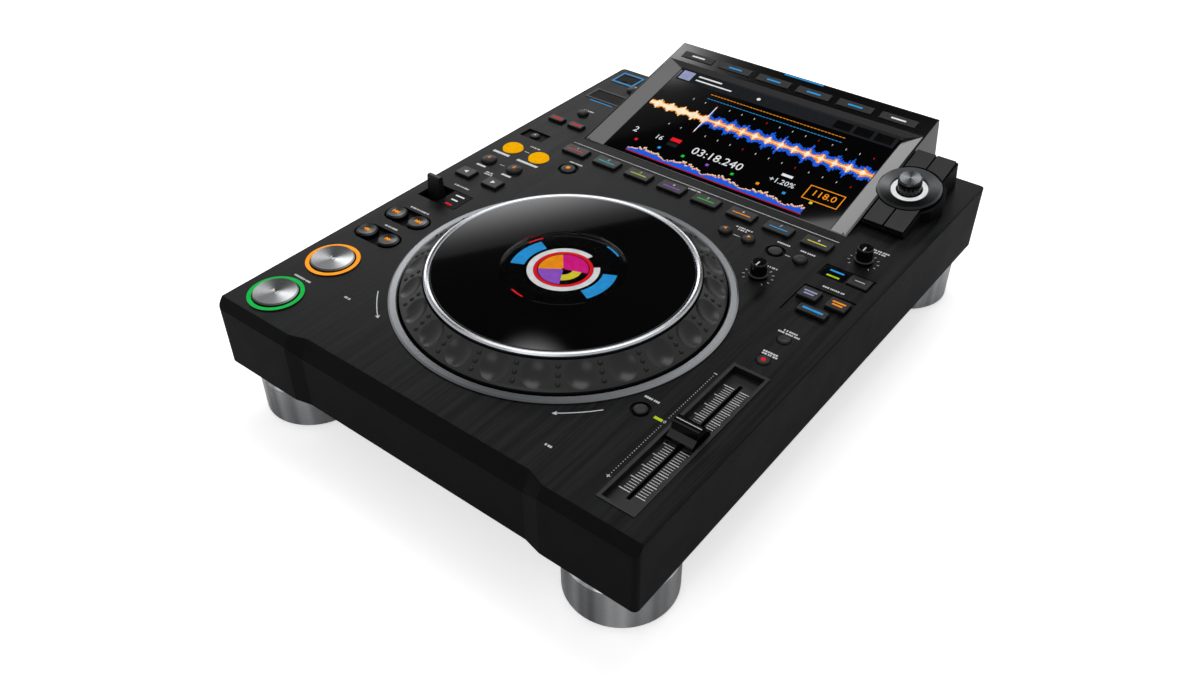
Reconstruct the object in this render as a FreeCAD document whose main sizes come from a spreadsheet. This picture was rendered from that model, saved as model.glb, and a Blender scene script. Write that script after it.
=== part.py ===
import FreeCAD, Part
import Sketcher
import math
import os

# Tabletop media player deck with a jog wheel and a tilted touch screen
# X to the right, Y to the rear, Z up, origin on the table under the middle of the overall box
# Control positions are given from the centre line and from the front edge

os.makedirs("parts", exist_ok=True)
doc = FreeCAD.newDocument("media_player")
sheet = doc.addObject("Spreadsheet::Sheet", "dims")

DIMENSIONS = {
    # Chassis
    "front_y": -226.5, "width": 329.0, "depth": 428.4, "panel_z": 86.4, "base_z": 37.6,
    "panel_thick": 1.5, "case_wall": 2.5, "lid_wall": 2.5, "panel_inset": 0.9, "front_wall": 9.0,
    "corner_round": 3.5, "chamfer_side_y": 5.2, "chamfer_side_z": 6.2,
    "nose_set_back": 2.8, "chamfer_mid_y": 9.4, "chamfer_mid_z": 11.5,
    "nose_left": -100.0, "nose_right": 100.0, "nose_blend": 12.0,
    # Bottom tray and rear wall
    "tray_thick": 1.2, "rear_window_w": 304.0, "rear_window_low": 42.0,
    "rear_window_high": 78.0, "tray_rear_high": 80.0, "vent_w": 60.0, "vent_slot": 3.0,
    "vent_pitch": 8.0, "vent_count": 7.0, "post_x": 152.0,
    # Feet
    "foot_x": 128.9, "foot_front": 35.6, "foot_rear": 395.5, "foot_radius": 33.9,
    "foot_rim_z": 32.5, "foot_low_z": 3.0, "foot_neck_r": 25.0, "pad_radius": 29.0, "pad_top": 5.5,
    # Keys in general
    "key_gap": 0.45, "key_travel": 1.2, "flange_out": 1.2, "flange_thick": 1.4,
    "flange_gap": 0.25, "stem_r": 1.5, "stem_low_z": 76.3, "key_round": 0.7, "key_rise": 2.2,
    # Transport keys
    "cue_x": -139.0, "cue_y": 74.2, "play_x": -139.0, "play_y": 27.2, "transport_r": 14.5,
    "ring_r": 18.1, "ring_in_r": 15.0, "ring_rise": 0.8, "transport_rise": 2.6, "transport_dish": 0.9,
    # Search keys in two pill recesses
    "pair_x": -137.8, "pair_half": 10.4, "search_y": 112.7, "track_y": 140.7, "search_r": 7.5,
    "search_rise": 1.6, "pill_r": 9.0, "pill_depth": 2.6,
    # Direction lever
    "slot_x": -146.4, "slot_y": 178.0, "slot_w": 18.1, "slot_d": 20.3, "window_x": -128.7,
    "window_w": 17.2, "lever_w": 11.4, "lever_top": 14.0, "lever_top_d": 3.8, "lever_base_d": 5.8,
    "lever_pivot_drop": 17.0, "lever_pivot_r": 3.0, "lever_pin_r": 1.5, "lever_ear": 2.2,
    # Loop and beat keys
    "jump_x": -147.5, "jump_step": 26.0, "jump_y": 210.9, "jump_w": 14.0, "jump_d": 11.0,
    "beat_x": -147.7, "beat_step": 25.2, "beat_y": 235.7, "beat_r": 5.9, "dome_rise": 3.0,
    "loop_x": -146.3, "loop_step": 26.0, "loop_y": 261.3, "loop_r": 8.0, "loop_rise": 1.2,
    "reloop_x": -92.4, "reloop_y": 262.5, "reloop_r": 5.6, "reloop_well": 7.8,
    # Upper left group
    "mode_x": -146.0, "mode_y": 287.2, "mode_r": 3.8, "mode_w": 22.0, "mode_d": 12.5,
    "mode_rise": 0.6,
    "slip_x": -148.6, "slip_step": 19.5, "slip_y": 317.8, "slip_w": 13.5, "slip_d": 7.0,
    "time_x": -139.0, "time_y": 338.7, "stop_x": -131.6, "stop_y": 396.7, "small_r": 4.6,
    "card_x": -138.0, "card_y": 374.7, "card_w": 39.0, "card_d": 17.0,
    "usb_x": -147.5, "usb_y": 412.0, "usb_w": 22.0, "usb_d": 20.0, "usb_flap_w": 17.4,
    "usb_flap_d": 13.4, "usb_depth": 14.0, "card_depth": 10.0, "door_thick": 1.5,
    "lid_pin_r": 0.5, "lid_pin_out": 1.0,
    # Hot cue keys
    "cue_row_x": -103.3, "cue_row_step": 29.7, "cue_row_y": 286.0, "cue_row_w": 20.7,
    "cue_row_d": 11.0, "cue_row_count": 8.0,
    # Memory keys
    "call_x": 46.3, "call_step": 18.5, "call_y": 262.7, "call_r": 4.6,
    "delete_x": 85.8, "delete_r": 4.8, "delete_well": 7.0, "memory_x": 104.5,
    # Pointer knobs
    "adjust_x": 91.5, "adjust_y": 231.2, "speed_x": 138.0, "speed_y": 287.7,
    "knob_r": 5.6, "knob_rise": 11.0, "knob_skirt_r": 6.3, "knob_shaft_r": 3.0,
    "knob_flutes": 12.0, "knob_flute_r": 1.1,
    # Jog mode and sync group
    "mode_tray_x": 138.0, "mode_tray_y": 263.9, "mode_tray_w": 36.0, "mode_tray_d": 14.5,
    "mode_key_x": 147.4, "mode_key_w": 14.0, "mode_key_d": 11.0, "mode_key_rise": 1.0,
    "sync_tray_x": 137.8, "sync_tray_y": 226.2, "sync_tray_w": 36.5, "sync_tray_d": 33.0,
    "tray_depth": 0.8, "sync_x": 128.3, "sync_step": 19.9, "sync_y": 232.7, "sync_w": 13.5,
    "sync_d": 11.0, "lock_x": 138.7, "lock_y": 217.4, "lock_w": 19.6, "lock_d": 7.4,
    # Tempo group
    "range_x": 138.2, "range_y": 183.7, "tempo_y": 159.7, "range_r": 4.2, "reset_x": 106.2,
    "reset_y": 82.0, "reset_r": 4.2, "reset_well": 6.2,
    "fader_x": 138.2, "fader_y": 81.7, "fader_w": 22.5, "fader_d": 129.0, "fader_floor": 4.0,
    "fader_travel": 100.0, "fader_slot": 2.4, "cap_w": 17.1, "cap_base_d": 17.6, "cap_top_d": 6.4,
    "cap_rise": 8.4, "fader_body_w": 13.0, "fader_body_drop": 16.0, "cap_centre_y": 81.9,
    # Jog wheel
    "jog_x": 0.0, "jog_y": 144.7, "jog_r": 103.8, "surround_r": 111.0, "surround_in_r": 105.3,
    "surround_rise": 1.6, "band_low": 2.6, "band_high": 13.6, "band_in_r": 88.6, "rim_r": 87.6,
    "rim_in_r": 83.7, "rim_top": 16.5, "disc_r": 83.3, "disc_thick": 2.2, "disc_drop": 0.5,
    "disc_travel": 0.35, "dimple_count": 24.0, "dimple_r": 17.0, "dimple_depth": 2.6,
    "hub_r": 20.0, "hub_bore_r": 14.05, "bearing_r": 14.0, "dish_z": 7.0, "dish_thick": 2.5,
    "centre_r": 41.0, "centre_post_r": 8.5, "bearing_gap": 0.02,
    # Display
    "screen_x": 1.3, "screen_y": 306.4, "screen_tilt": 13.13, "hump_w": 228.0, "hump_l": 142.3,
    "hump_rear_h": 35.3, "hump_hook": 6.0, "lcd_w": 198.0, "lcd_l": 111.0,
    "lcd_front": 5.0, "lcd_depth": 4.5, "rim_side": 1.6, "bezel_rear": 118.5, "bezel_front": 1.6,
    "glass_thick": 1.4, "glass_margin": 3.0, "module_thick": 5.0,
    "row_key_w": 29.0, "row_key_l": 7.6, "row_key_step": 35.8, "row_key_x": -89.5,
    "row_key_y": 128.0, "row_key_rise": 0.5, "row_key_count": 6.0, "row_key_deep": 4.2,
    # Selector on its plinth
    "dial_x": 130.2, "dial_y": 63.6, "dial_r": 22.2, "dial_in_r": 12.8, "dial_rise": 1.6,
    "dial_knob_r": 8.4, "dial_knob_rise": 10.0, "dial_light_r": 9.2, "plinth_left": 115.8,
    "plinth_right": 147.4, "plinth_front": 20.5, "plinth_rear": 105.0, "plinth_bulge_r": 25.5,
    "plinth_drop": 1.6, "dial_key_gap": 1.3, "dial_key_margin": 1.2, "dial_key_in_r": 23.3,
    "dial_shaft_r": 3.0, "dial_shaft_low": 13.0, "dial_seat": 3.2, "dial_grooves": 18.0,
    "dial_groove_r": 0.95, "dial_notch_gap": 0.35, "plinth_deep": 30.0, "dial_key_deep": 3.6,
    "dial_key_rise": 0.6,
    # Boards and supply
    "board_z": 70.0, "board_thick": 1.6, "switch_w": 6.0, "board_hole_r": 112.0,
    "supply_x": 95.0, "supply_y": 330.0, "supply_w": 95.0, "supply_d": 130.0, "supply_h": 24.0,
    # Rear sockets
    "inlet_x": 118.0, "socket_z": 58.0, "inlet_w": 30.0, "inlet_h": 24.0, "inlet_deep": 18.0,
    "inlet_hole_w": 23.0, "inlet_hole_h": 16.5, "power_x": 86.0, "power_w": 12.0, "power_h": 9.0,
    "lan_x": 10.0, "usb_b_x": 40.0, "jack_x": -60.0, "jack_step": 20.0,
    "jack_r": 4.2, "jack_bore_r": 1.6, "jack_count": 4.0, "rear_recess": 2.8, "socket_deep": 18.0,
    "socket_bore_deep": 12.0, "lan_w": 16.0, "lan_h": 14.0, "lan_hole_w": 12.0, "lan_hole_h": 8.0,
    "usb_b_w": 12.0, "usb_b_h": 11.0, "usb_b_hole_w": 8.6, "usb_b_hole_h": 7.8,
    "carrier_deep": 10.0, "post_r": 3.5,
}

for row, (alias, number) in enumerate(DIMENSIONS.items(), start=1):
    sheet.set("A%d" % row, alias.replace("_", " "))
    sheet.set("B%d" % row, str(number))
    sheet.setAlias("B%d" % row, alias)
doc.recompute()

nodes = {}


def full(expression):
    """Names of the sheet's cells, written out for the expression engine."""
    words = []
    word = ""
    for letter in expression + " ":
        if letter.isalnum() or letter == "_":
            word += letter
            continue
        words.append("dims." + word if word in DIMENSIONS else word)
        words.append(letter)
        word = ""
    return "".join(words).strip()


def size(expression):
    found = sheet.evalExpression(full(expression))
    return float(getattr(found, "Value", found))


def bind(item, path, expression):
    item.setExpression(path, full(expression))


def node(label, item):
    item.Label = label
    nodes[label] = item
    return item


def box(name, lengths, corner):
    item = doc.addObject("Part::Box", name)
    for path, expression in zip(("Length", "Width", "Height"), lengths):
        bind(item, path, expression)
    for axis, expression in zip("xyz", corner):
        bind(item, "Placement.Base." + axis, expression)
    return item


def centred_box(name, lengths, centre, low):
    corner = ("%s - (%s) / 2" % (centre[0], lengths[0]), "%s - (%s) / 2" % (centre[1], lengths[1]), low)
    return box(name, lengths, corner)


def cylinder(name, radius, height, foot):
    item = doc.addObject("Part::Cylinder", name)
    bind(item, "Radius", radius)
    bind(item, "Height", height)
    for axis, expression in zip("xyz", foot):
        bind(item, "Placement.Base." + axis, expression)
    return item


def fuse(name, pieces):
    item = doc.addObject("Part::MultiFuse", name)
    item.Shapes = pieces
    return item


def cut(name, base, tools):
    item = doc.addObject("Part::Cut", name)
    item.Base = base
    item.Tool = tools[0] if len(tools) == 1 else fuse(name + "_tools", tools)
    return item


def group(name, pieces):
    item = doc.addObject("Part::Compound", name)
    item.Links = pieces
    return item


def rounded(name, base, radius, wanted):
    """Fillet the edges of base that wanted accepts."""
    doc.recompute()
    item = doc.addObject("Part::Fillet", name)
    item.Base = base
    reach = size(radius)
    item.Edges = [(i, reach, reach) for i, edge in enumerate(base.Shape.Edges, 1) if wanted(edge)]
    return item


def upright(edge):
    ends = [v.Point for v in edge.Vertexes]
    if len(ends) != 2:
        return False
    run = ends[1] - ends[0]
    return abs(run.x) < 1e-4 and abs(run.y) < 1e-4 and abs(run.z) > 1e-4


def level_at(height):
    def wanted(edge):
        ends = edge.BoundBox
        return abs(ends.ZMin - height) < 1e-3 and abs(ends.ZMax - height) < 1e-3
    return wanted


def new_body(name, place=None):
    body = doc.addObject("PartDesign::Body", name)
    if place:
        for axis, expression in zip("xyz", place):
            bind(body, "Placement.Base." + axis, expression)
    return body


def sketch_on(body, role, offset=None):
    sketch = body.newObject("Sketcher::SketchObject", body.Name + "_sketch")
    plane = [item for item in body.Origin.OriginFeatures if item.Role == role][0]
    sketch.AttachmentSupport = [(plane, "")]
    sketch.MapMode = "FlatFace"
    if offset:
        bind(sketch, "AttachmentOffset.Base.z", offset)
    return sketch


def hold(sketch, kind, shape_index, point, expression):
    """Fix one coordinate of a sketch point to an expression."""
    value = size(expression)
    if abs(value) < 1e-9:
        axis = -2 if kind == "DistanceX" else -1
        sketch.addConstraint(Sketcher.Constraint("PointOnObject", shape_index, point, axis))
        return
    index = sketch.addConstraint(Sketcher.Constraint(kind, -1, 1, shape_index, point, value))
    bind(sketch, "Constraints[%d]" % index, expression)


def polygon(sketch, corners):
    start = sketch.GeometryCount
    spots = [FreeCAD.Vector(size(u), size(v), 0) for u, v in corners]
    count = len(spots)
    for i in range(count):
        sketch.addGeometry(Part.LineSegment(spots[i], spots[(i + 1) % count]), False)
    for i in range(count):
        following = start + (i + 1) % count
        sketch.addConstraint(Sketcher.Constraint("Coincident", start + i, 2, following, 1))
    for i, (u, v) in enumerate(corners):
        hold(sketch, "DistanceX", start + i, 1, u)
        hold(sketch, "DistanceY", start + i, 1, v)


def rectangle(sketch, u, v, width, depth):
    left, right = "%s - (%s) / 2" % (u, width), "%s + (%s) / 2" % (u, width)
    low, high = "%s - (%s) / 2" % (v, depth), "%s + (%s) / 2" % (v, depth)
    polygon(sketch, [(left, low), (right, low), (right, high), (left, high)])


def circle(sketch, u, v, radius):
    spot = FreeCAD.Vector(size(u), size(v), 0)
    shape_index = sketch.addGeometry(Part.Circle(spot, FreeCAD.Vector(0, 0, 1), size(radius)), False)
    hold(sketch, "DistanceX", shape_index, 3, u)
    hold(sketch, "DistanceY", shape_index, 3, v)
    index = sketch.addConstraint(Sketcher.Constraint("Radius", shape_index, size(radius)))
    bind(sketch, "Constraints[%d]" % index, radius)


def pad(body, sketch, length, down=False):
    feature = body.newObject("PartDesign::Pad", body.Name + "_pad")
    feature.Profile = sketch
    bind(feature, "Length", length)
    feature.Reversed = down
    return feature


def pocket(body, sketch, length, through=False, up=False):
    feature = body.newObject("PartDesign::Pocket", body.Name + "_pocket")
    feature.Profile = sketch
    if through:
        feature.Type = 1
        feature.Midplane = True
    else:
        bind(feature, "Length", length)
        feature.Reversed = up
    return feature


def revolve(body, profile, role="XZ_Plane", cutting=False):
    """Turn a closed profile of radius and height about the body's own upright axis."""
    sketch = sketch_on(body, role)
    polygon(sketch, profile)
    kind = "PartDesign::Groove" if cutting else "PartDesign::Revolution"
    feature = body.newObject(kind, body.Name + "_turn")
    feature.Profile = sketch
    feature.ReferenceAxis = (sketch, ["V_Axis"])
    feature.Angle = 360.0
    return feature


def soften(body, radius, wanted):
    """Round the chosen edges of the body's last feature."""
    doc.recompute()
    base = body.Tip
    chosen = ["Edge%d" % i for i, edge in enumerate(base.Shape.Edges, 1) if wanted(edge)]
    feature = body.newObject("PartDesign::Fillet", body.Name + "_round")
    feature.Base = (base, chosen)
    bind(feature, "Radius", radius)
    return feature


# Heights and places used again and again
TOP = "panel_z"
CASE_TOP = "(panel_z - panel_thick)"
CASE_LOW = "(panel_z - panel_thick - lid_wall)"
FLANGE_TOP = "(panel_z - panel_thick - lid_wall - flange_gap)"
FRONT = "front_y"


def from_front(distance):
    return "(front_y + %s)" % distance


# Every control opening in the panel: kind, x, y, width or radius, depth
openings = []


def square_key(name, x, y, width, depth, rise, round_by="key_round"):
    """A moulded key: cap through the panel, wider flange below it, and a stem to its switch."""
    body = new_body(name, (x, from_front(y), "0"))
    top = sketch_on(body, "XY_Plane", "%s - flange_thick" % FLANGE_TOP)
    rectangle(top, "0", "0", width, depth)
    pad(body, top, "panel_z + %s - %s + flange_thick" % (rise, FLANGE_TOP))
    soften(body, round_by, upright)
    soften(body, "key_round", level_at(size("panel_z + %s" % rise)))
    flange = sketch_on(body, "XY_Plane", "%s - flange_thick" % FLANGE_TOP)
    rectangle(flange, "0", "0", "%s + 2 * flange_out" % width, "%s + 2 * flange_out" % depth)
    pad(body, flange, "flange_thick")
    stem = sketch_on(body, "XY_Plane", "stem_low_z")
    circle(stem, "0", "0", "stem_r")
    pad(body, stem, "%s - stem_low_z - flange_thick / 2" % FLANGE_TOP)
    openings.append(("square", x, y, width, depth))
    return body


def round_key(name, x, y, radius, rise, dome=False, dish="0", chamfer="0.8"):
    """A turned key cap: flange and stem below, domed, flat or dished face above."""
    body = new_body(name, (x, from_front(y), "0"))
    top = "panel_z + %s" % rise
    edge = "%s - %s" % (top, "0.3" if dome else chamfer)
    profile = [
        ("0", "stem_low_z"), ("stem_r", "stem_low_z"), ("stem_r", "%s - flange_thick" % FLANGE_TOP),
        ("%s + flange_out" % radius, "%s - flange_thick" % FLANGE_TOP),
        ("%s + flange_out" % radius, FLANGE_TOP), (radius, FLANGE_TOP), (radius, edge)]
    if dome:
        profile += [("%s * 0.94" % radius, "panel_z + %s * 0.55" % rise),
                    ("%s * 0.78" % radius, "panel_z + %s * 0.80" % rise),
                    ("%s * 0.45" % radius, "panel_z + %s * 0.96" % rise), ("0", top)]
        profile[6] = (radius, "panel_z + %s * 0.15" % rise)
    else:
        profile += [("%s - %s" % (radius, chamfer), top), ("0", "%s - %s" % (top, dish))]
    revolve(body, profile)
    openings.append(("round", x, y, radius, radius))
    return body


# Cue and play, each in a lit ring
node("cue_button",
     round_key("cue", "cue_x", "cue_y", "transport_r", "transport_rise", dish="transport_dish"))
node("play_button",
     round_key("play", "play_x", "play_y", "transport_r", "transport_rise", dish="transport_dish"))
rings = []
for place in ("cue", "play"):
    ring = new_body(place + "_ring", (place + "_x", from_front(place + "_y"), "0"))
    revolve(ring, [("ring_in_r", CASE_TOP), ("ring_r", CASE_TOP), ("ring_r", "panel_z + ring_rise * 0.4"),
                   ("ring_r - 0.5", "panel_z + ring_rise"), ("ring_in_r + 0.4", "panel_z + ring_rise"),
                   ("ring_in_r", "panel_z + ring_rise * 0.6")])
    rings.append(ring)
node("transport_rings", group("ring_pair", rings))

# Search keys, four round caps in two pill recesses
for label, y in (("search_keys", "search_y"), ("track_search_keys", "track_y")):
    caps = [round_key("%s_%s" % (label, side), "pair_x %s pair_half" % sign, y, "search_r", "search_rise",
                      dish="0.5", chamfer="1.1")
            for side, sign in (("left", "-"), ("right", "+"))]
    node(label, group(label + "_pair", caps))

# Direction lever, a tapered blade on a cross pin under the panel
pivot_z = "(%s - lever_pivot_drop)" % TOP
lever = new_body("lever", ("slot_x", from_front("slot_y"), pivot_z))
side = sketch_on(lever, "YZ_Plane", "0 - lever_w / 2")
polygon(side, [("0 - lever_base_d / 2 + 0.8", "0"), ("lever_base_d / 2 - 0.8", "0"),
               ("lever_base_d / 2", "lever_pivot_drop"),
               ("lever_top_d / 2", "lever_pivot_drop + lever_top - 0.8"),
               ("lever_top_d / 2 - 0.8", "lever_pivot_drop + lever_top"),
               ("0 - lever_top_d / 2 + 0.8", "lever_pivot_drop + lever_top"),
               ("0 - lever_top_d / 2", "lever_pivot_drop + lever_top - 0.8"),
               ("0 - lever_base_d / 2", "lever_pivot_drop")])
pad(lever, side, "lever_w")
barrel = sketch_on(lever, "YZ_Plane", "0 - lever_w / 2")
circle(barrel, "0", "0", "lever_pivot_r")
pad(lever, barrel, "lever_w")
pin = sketch_on(lever, "YZ_Plane", "0 - lever_w / 2 - lever_ear")
circle(pin, "0", "0", "lever_pin_r")
pad(lever, pin, "lever_w + 2 * lever_ear")
node("direction_lever", lever)

# Beat jump keys, beat loop keys and loop keys
node("beat_jump_keys", group("jump_pair", [
    square_key("jump_%d" % i, "jump_x + %d * jump_step" % i, "jump_y", "jump_w", "jump_d", "key_rise")
    for i in range(2)]))
node("beat_loop_keys", group("beat_pair", [
    round_key("beat_%d" % i, "beat_x + %d * beat_step" % i, "beat_y", "beat_r", "dome_rise", dome=True)
    for i in range(2)]))
node("loop_in_and_out_keys", group("loop_pair", [
    round_key("loop_%d" % i, "loop_x + %d * loop_step" % i, "loop_y", "loop_r", "loop_rise")
    for i in range(2)]))
node("reloop_key", round_key("reloop", "reloop_x", "reloop_y", "reloop_r", "loop_rise", dome=True))

# Small keys of the upper left group
node("touch_mode_key", round_key("mode", "mode_x", "mode_y", "mode_r", "mode_rise"))
node("slip_and_quantize_keys", group("slip_pair", [
    square_key("slip_%d" % i, "slip_x + %d * slip_step" % i, "slip_y", "slip_w", "slip_d", "key_rise")
    for i in range(2)]))
node("time_and_stop_keys", group("time_pair", [
    round_key("time_key", "time_x", "time_y", "small_r", "dome_rise", dome=True),
    round_key("stop_key", "stop_x", "stop_y", "small_r", "dome_rise", dome=True)]))

# Eight hot cue keys under the screen
for i in range(int(size("cue_row_count"))):
    node("hot_cue_key_%d" % (i + 1), square_key(
        "hot_cue_%d" % (i + 1), "cue_row_x + %d * cue_row_step" % i, "cue_row_y",
        "cue_row_w", "cue_row_d", "key_rise"))

# Call, delete and memory keys
node("call_keys", group("call_pair", [
    round_key("call_%d" % i, "call_x + %d * call_step" % i, "call_y", "call_r", "dome_rise", dome=True)
    for i in range(2)]))
node("delete_and_memory_keys", group("memory_pair", [
    round_key("delete_key", "delete_x", "call_y", "delete_r", "loop_rise", dome=True),
    round_key("memory_key", "memory_x", "call_y", "delete_r", "dome_rise", dome=True)]))

# Jog mode key and the sync group
node("jog_mode_key", square_key("jog_mode", "mode_key_x", "mode_tray_y", "mode_key_w", "mode_key_d",
                                "mode_key_rise"))
node("sync_and_master_keys", group("sync_pair", [
    square_key("sync_%d" % i, "sync_x + %d * sync_step" % i, "sync_y", "sync_w", "sync_d", "key_rise")
    for i in range(2)]))
node("key_sync_key", square_key("key_sync", "lock_x", "lock_y", "lock_w", "lock_d", "key_rise"))

# Tempo keys
node("tempo_range_and_lock_keys", group("tempo_pair", [
    round_key("tempo_range", "range_x", "range_y", "range_r", "loop_rise", dish="0.4"),
    round_key("tempo_lock", "range_x", "tempo_y", "range_r", "loop_rise", dish="0.4")]))
node("tempo_reset_key", round_key("reset", "reset_x", "reset_y", "reset_r", "loop_rise", dome=True))


# Two pointer knobs with a fluted grip
def pointer_knob(name, x, y):
    body = new_body(name, (x, from_front(y), "0"))
    revolve(body, [("0", "board_z + board_thick + 0.4"), ("knob_shaft_r", "board_z + board_thick + 0.4"),
                   ("knob_shaft_r", "panel_z + 0.5"), ("knob_skirt_r", "panel_z + 0.5"),
                   ("knob_skirt_r", "panel_z + 2"), ("knob_r", "panel_z + 2.6"),
                   ("knob_r - 0.3", "panel_z + knob_rise - 0.6"), ("knob_r - 1", "panel_z + knob_rise"),
                   ("0", "panel_z + knob_rise")])
    grip = sketch_on(body, "XY_Plane", "panel_z + knob_rise")
    circle(grip, "knob_r + knob_flute_r / 2", "0", "knob_flute_r")
    flute = pocket(body, grip, "knob_rise - 3")
    ring_of = body.newObject("PartDesign::PolarPattern", name + "_flutes")
    ring_of.Originals = [flute]
    ring_of.Axis = (grip, ["N_Axis"])
    bind(ring_of, "Occurrences", "knob_flutes")
    body.Tip = ring_of
    openings.append(("round", x, y, "knob_shaft_r", "knob_shaft_r"))
    return body


node("jog_adjust_knob", pointer_knob("jog_adjust", "adjust_x", "adjust_y"))
node("speed_adjust_knob", pointer_knob("speed_adjust", "speed_x", "speed_y"))

# Tempo fader: cap on a flat stem, running in a slotted tray with the slider unit under it
cap = new_body("fader_cap", ("fader_x", from_front("cap_centre_y"), TOP))
shape = sketch_on(cap, "YZ_Plane", "0 - cap_w / 2")
polygon(shape, [("0 - cap_base_d / 2", "0.6 - fader_floor"), ("cap_base_d / 2", "0.6 - fader_floor"),
                ("cap_base_d / 2", "0.9"), ("cap_base_d / 2 - 1.8", "1.7"), ("cap_base_d / 2 - 4", "3.4"),
                ("cap_top_d / 2", "cap_rise - 0.6"), ("cap_top_d / 2 - 0.6", "cap_rise"),
                ("0.7", "cap_rise"), ("0.3", "cap_rise - 0.5"), ("0 - 0.3", "cap_rise - 0.5"),
                ("0 - 0.7", "cap_rise"),
                ("0.6 - cap_top_d / 2", "cap_rise"), ("0 - cap_top_d / 2", "cap_rise - 0.6"),
                ("4 - cap_base_d / 2", "3.4"), ("1.8 - cap_base_d / 2", "1.7"),
                ("0 - cap_base_d / 2", "0.9")])
pad(cap, shape, "cap_w")
stem = sketch_on(cap, "YZ_Plane", "0 - fader_slot / 2 + 0.4")
polygon(stem, [("0 - 3", "0 - fader_body_drop + 3"), ("3", "0 - fader_body_drop + 3"), ("3", "0 - 2"),
               ("0 - 3", "0 - 2")])
pad(cap, stem, "fader_slot - 0.8")
node("tempo_fader", cap)

tray = centred_box("fader_block", ("fader_w - 0.3", "fader_d - 0.3", "fader_floor + 1.6"),
                   ("fader_x", from_front("fader_y")), "panel_z - fader_floor - 1.6")
unit = centred_box("slider_unit", ("fader_body_w", "fader_travel + 26", "fader_body_drop - fader_floor"),
                   ("fader_x", from_front("cap_centre_y")), "panel_z - fader_body_drop - 1")
hollow = centred_box("tray_hollow", ("fader_w - 2.3", "fader_d - 2.3", "fader_floor + 1"),
                     ("fader_x", from_front("fader_y")), "panel_z - fader_floor")
slit = centred_box("tray_slit", ("fader_slot", "fader_travel + 9", "fader_floor"),
                   ("fader_x", from_front("cap_centre_y")), "panel_z - fader_floor - 3")
runway = centred_box("slider_runway",
                     ("fader_body_w - 4", "fader_travel + 16", "fader_body_drop - fader_floor - 4"),
                     ("fader_x", from_front("cap_centre_y")), "panel_z - fader_body_drop + 1")
lip = centred_box("tray_lip", ("fader_w + 2", "fader_d + 2", "0.5"), ("fader_x", from_front("fader_y")),
                  TOP)
node("fader_tray",
     cut("fader_tray_cut", fuse("fader_tray_solid", [tray, lip, unit]), [hollow, slit, runway]))

# Jog wheel: dished wheel with a dimpled sloping band, turned in one piece
jog_place = ("jog_x", from_front("jog_y"), TOP)
wheel = new_body("wheel", jog_place)
revolve(wheel, [
    ("hub_bore_r", "0"), ("hub_r", "0"), ("hub_r", "dish_z - dish_thick"),
    ("band_in_r - 3", "dish_z - dish_thick"),
    ("jog_r - 2.5", "0 - 2.4"), ("jog_r", "0 - 2.4"), ("jog_r", "band_low"),
    ("jog_r - 1.2", "band_low + 1.2"),
    ("band_in_r", "band_high"), ("rim_r", "band_high - 0.8"), ("rim_r", "rim_top - 1.2"),
    ("rim_r - 0.9", "rim_top - 0.2"),
    ("rim_r - 2", "rim_top"), ("rim_in_r + 0.6", "rim_top - 0.4"), ("rim_in_r", "rim_top - 1"),
    ("rim_in_r", "rim_top - disc_drop - disc_thick - disc_travel - 0.05"),
    ("rim_in_r - 4", "rim_top - disc_drop - disc_thick - disc_travel - 0.05"),
    ("rim_in_r - 4", "dish_z"), ("hub_bore_r", "dish_z")])
# Each dimple is a shallow ball cut into the sloping band
slope = math.atan2(size("band_high - band_low - 1.2"), size("jog_r - 1.2 - band_in_r"))
middle_r = size("(jog_r - 1.2 + band_in_r) / 2")
middle_z = size("(band_low + 1.2 + band_high) / 2")
lift = size("dimple_r - dimple_depth")
ball_r = middle_r + lift * math.sin(slope)
ball_z = middle_z + lift * math.cos(slope)
ball_sketch = sketch_on(wheel, "XZ_Plane")
reach = size("dimple_r")
top_spot = FreeCAD.Vector(ball_r, ball_z + reach, 0)
low_spot = FreeCAD.Vector(ball_r, ball_z - reach, 0)
half_turn = Part.Arc(low_spot, FreeCAD.Vector(ball_r + reach, ball_z, 0), top_spot)
ball_sketch.addGeometry(half_turn, False)
ball_sketch.addGeometry(Part.LineSegment(top_spot, low_spot), False)
ball_sketch.addConstraint(Sketcher.Constraint("Coincident", 0, 2, 1, 1))
ball_sketch.addConstraint(Sketcher.Constraint("Coincident", 0, 1, 1, 2))
ball_sketch.addConstraint(Sketcher.Constraint("Vertical", 1))
dimple = wheel.newObject("PartDesign::Groove", "dimple")
dimple.Profile = ball_sketch
dimple.ReferenceAxis = (ball_sketch, ["Edge2"])
dimple.Angle = 360.0
dimples = wheel.newObject("PartDesign::PolarPattern", "dimples")
dimples.Originals = [dimple]
flat = sketch_on(wheel, "XY_Plane")
dimples.Axis = (flat, ["N_Axis"])
bind(dimples, "Occurrences", "dimple_count")
wheel.Tip = dimples
node("jog_wheel", wheel)

plate = new_body("jog_disc", jog_place)
revolve(plate, [("0", "rim_top - disc_drop - disc_thick"), ("disc_r", "rim_top - disc_drop - disc_thick"),
                ("disc_r", "rim_top - disc_drop - 0.4"), ("disc_r - 0.4", "rim_top - disc_drop"),
                ("0", "rim_top - disc_drop")])
node("jog_plate", plate)

surround = new_body("surround", jog_place)
revolve(surround,
        [("surround_in_r", "0 - panel_thick - lid_wall"),
         ("surround_in_r + 1.6", "0 - panel_thick - lid_wall"),
         ("surround_in_r + 1.6", "0"), ("surround_r", "0"), ("surround_r", "surround_rise * 0.5"),
         ("surround_r - 1.2", "surround_rise"), ("surround_in_r + 0.8", "surround_rise"),
         ("surround_in_r", "surround_rise - 0.7")])
node("jog_surround", surround)

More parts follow.
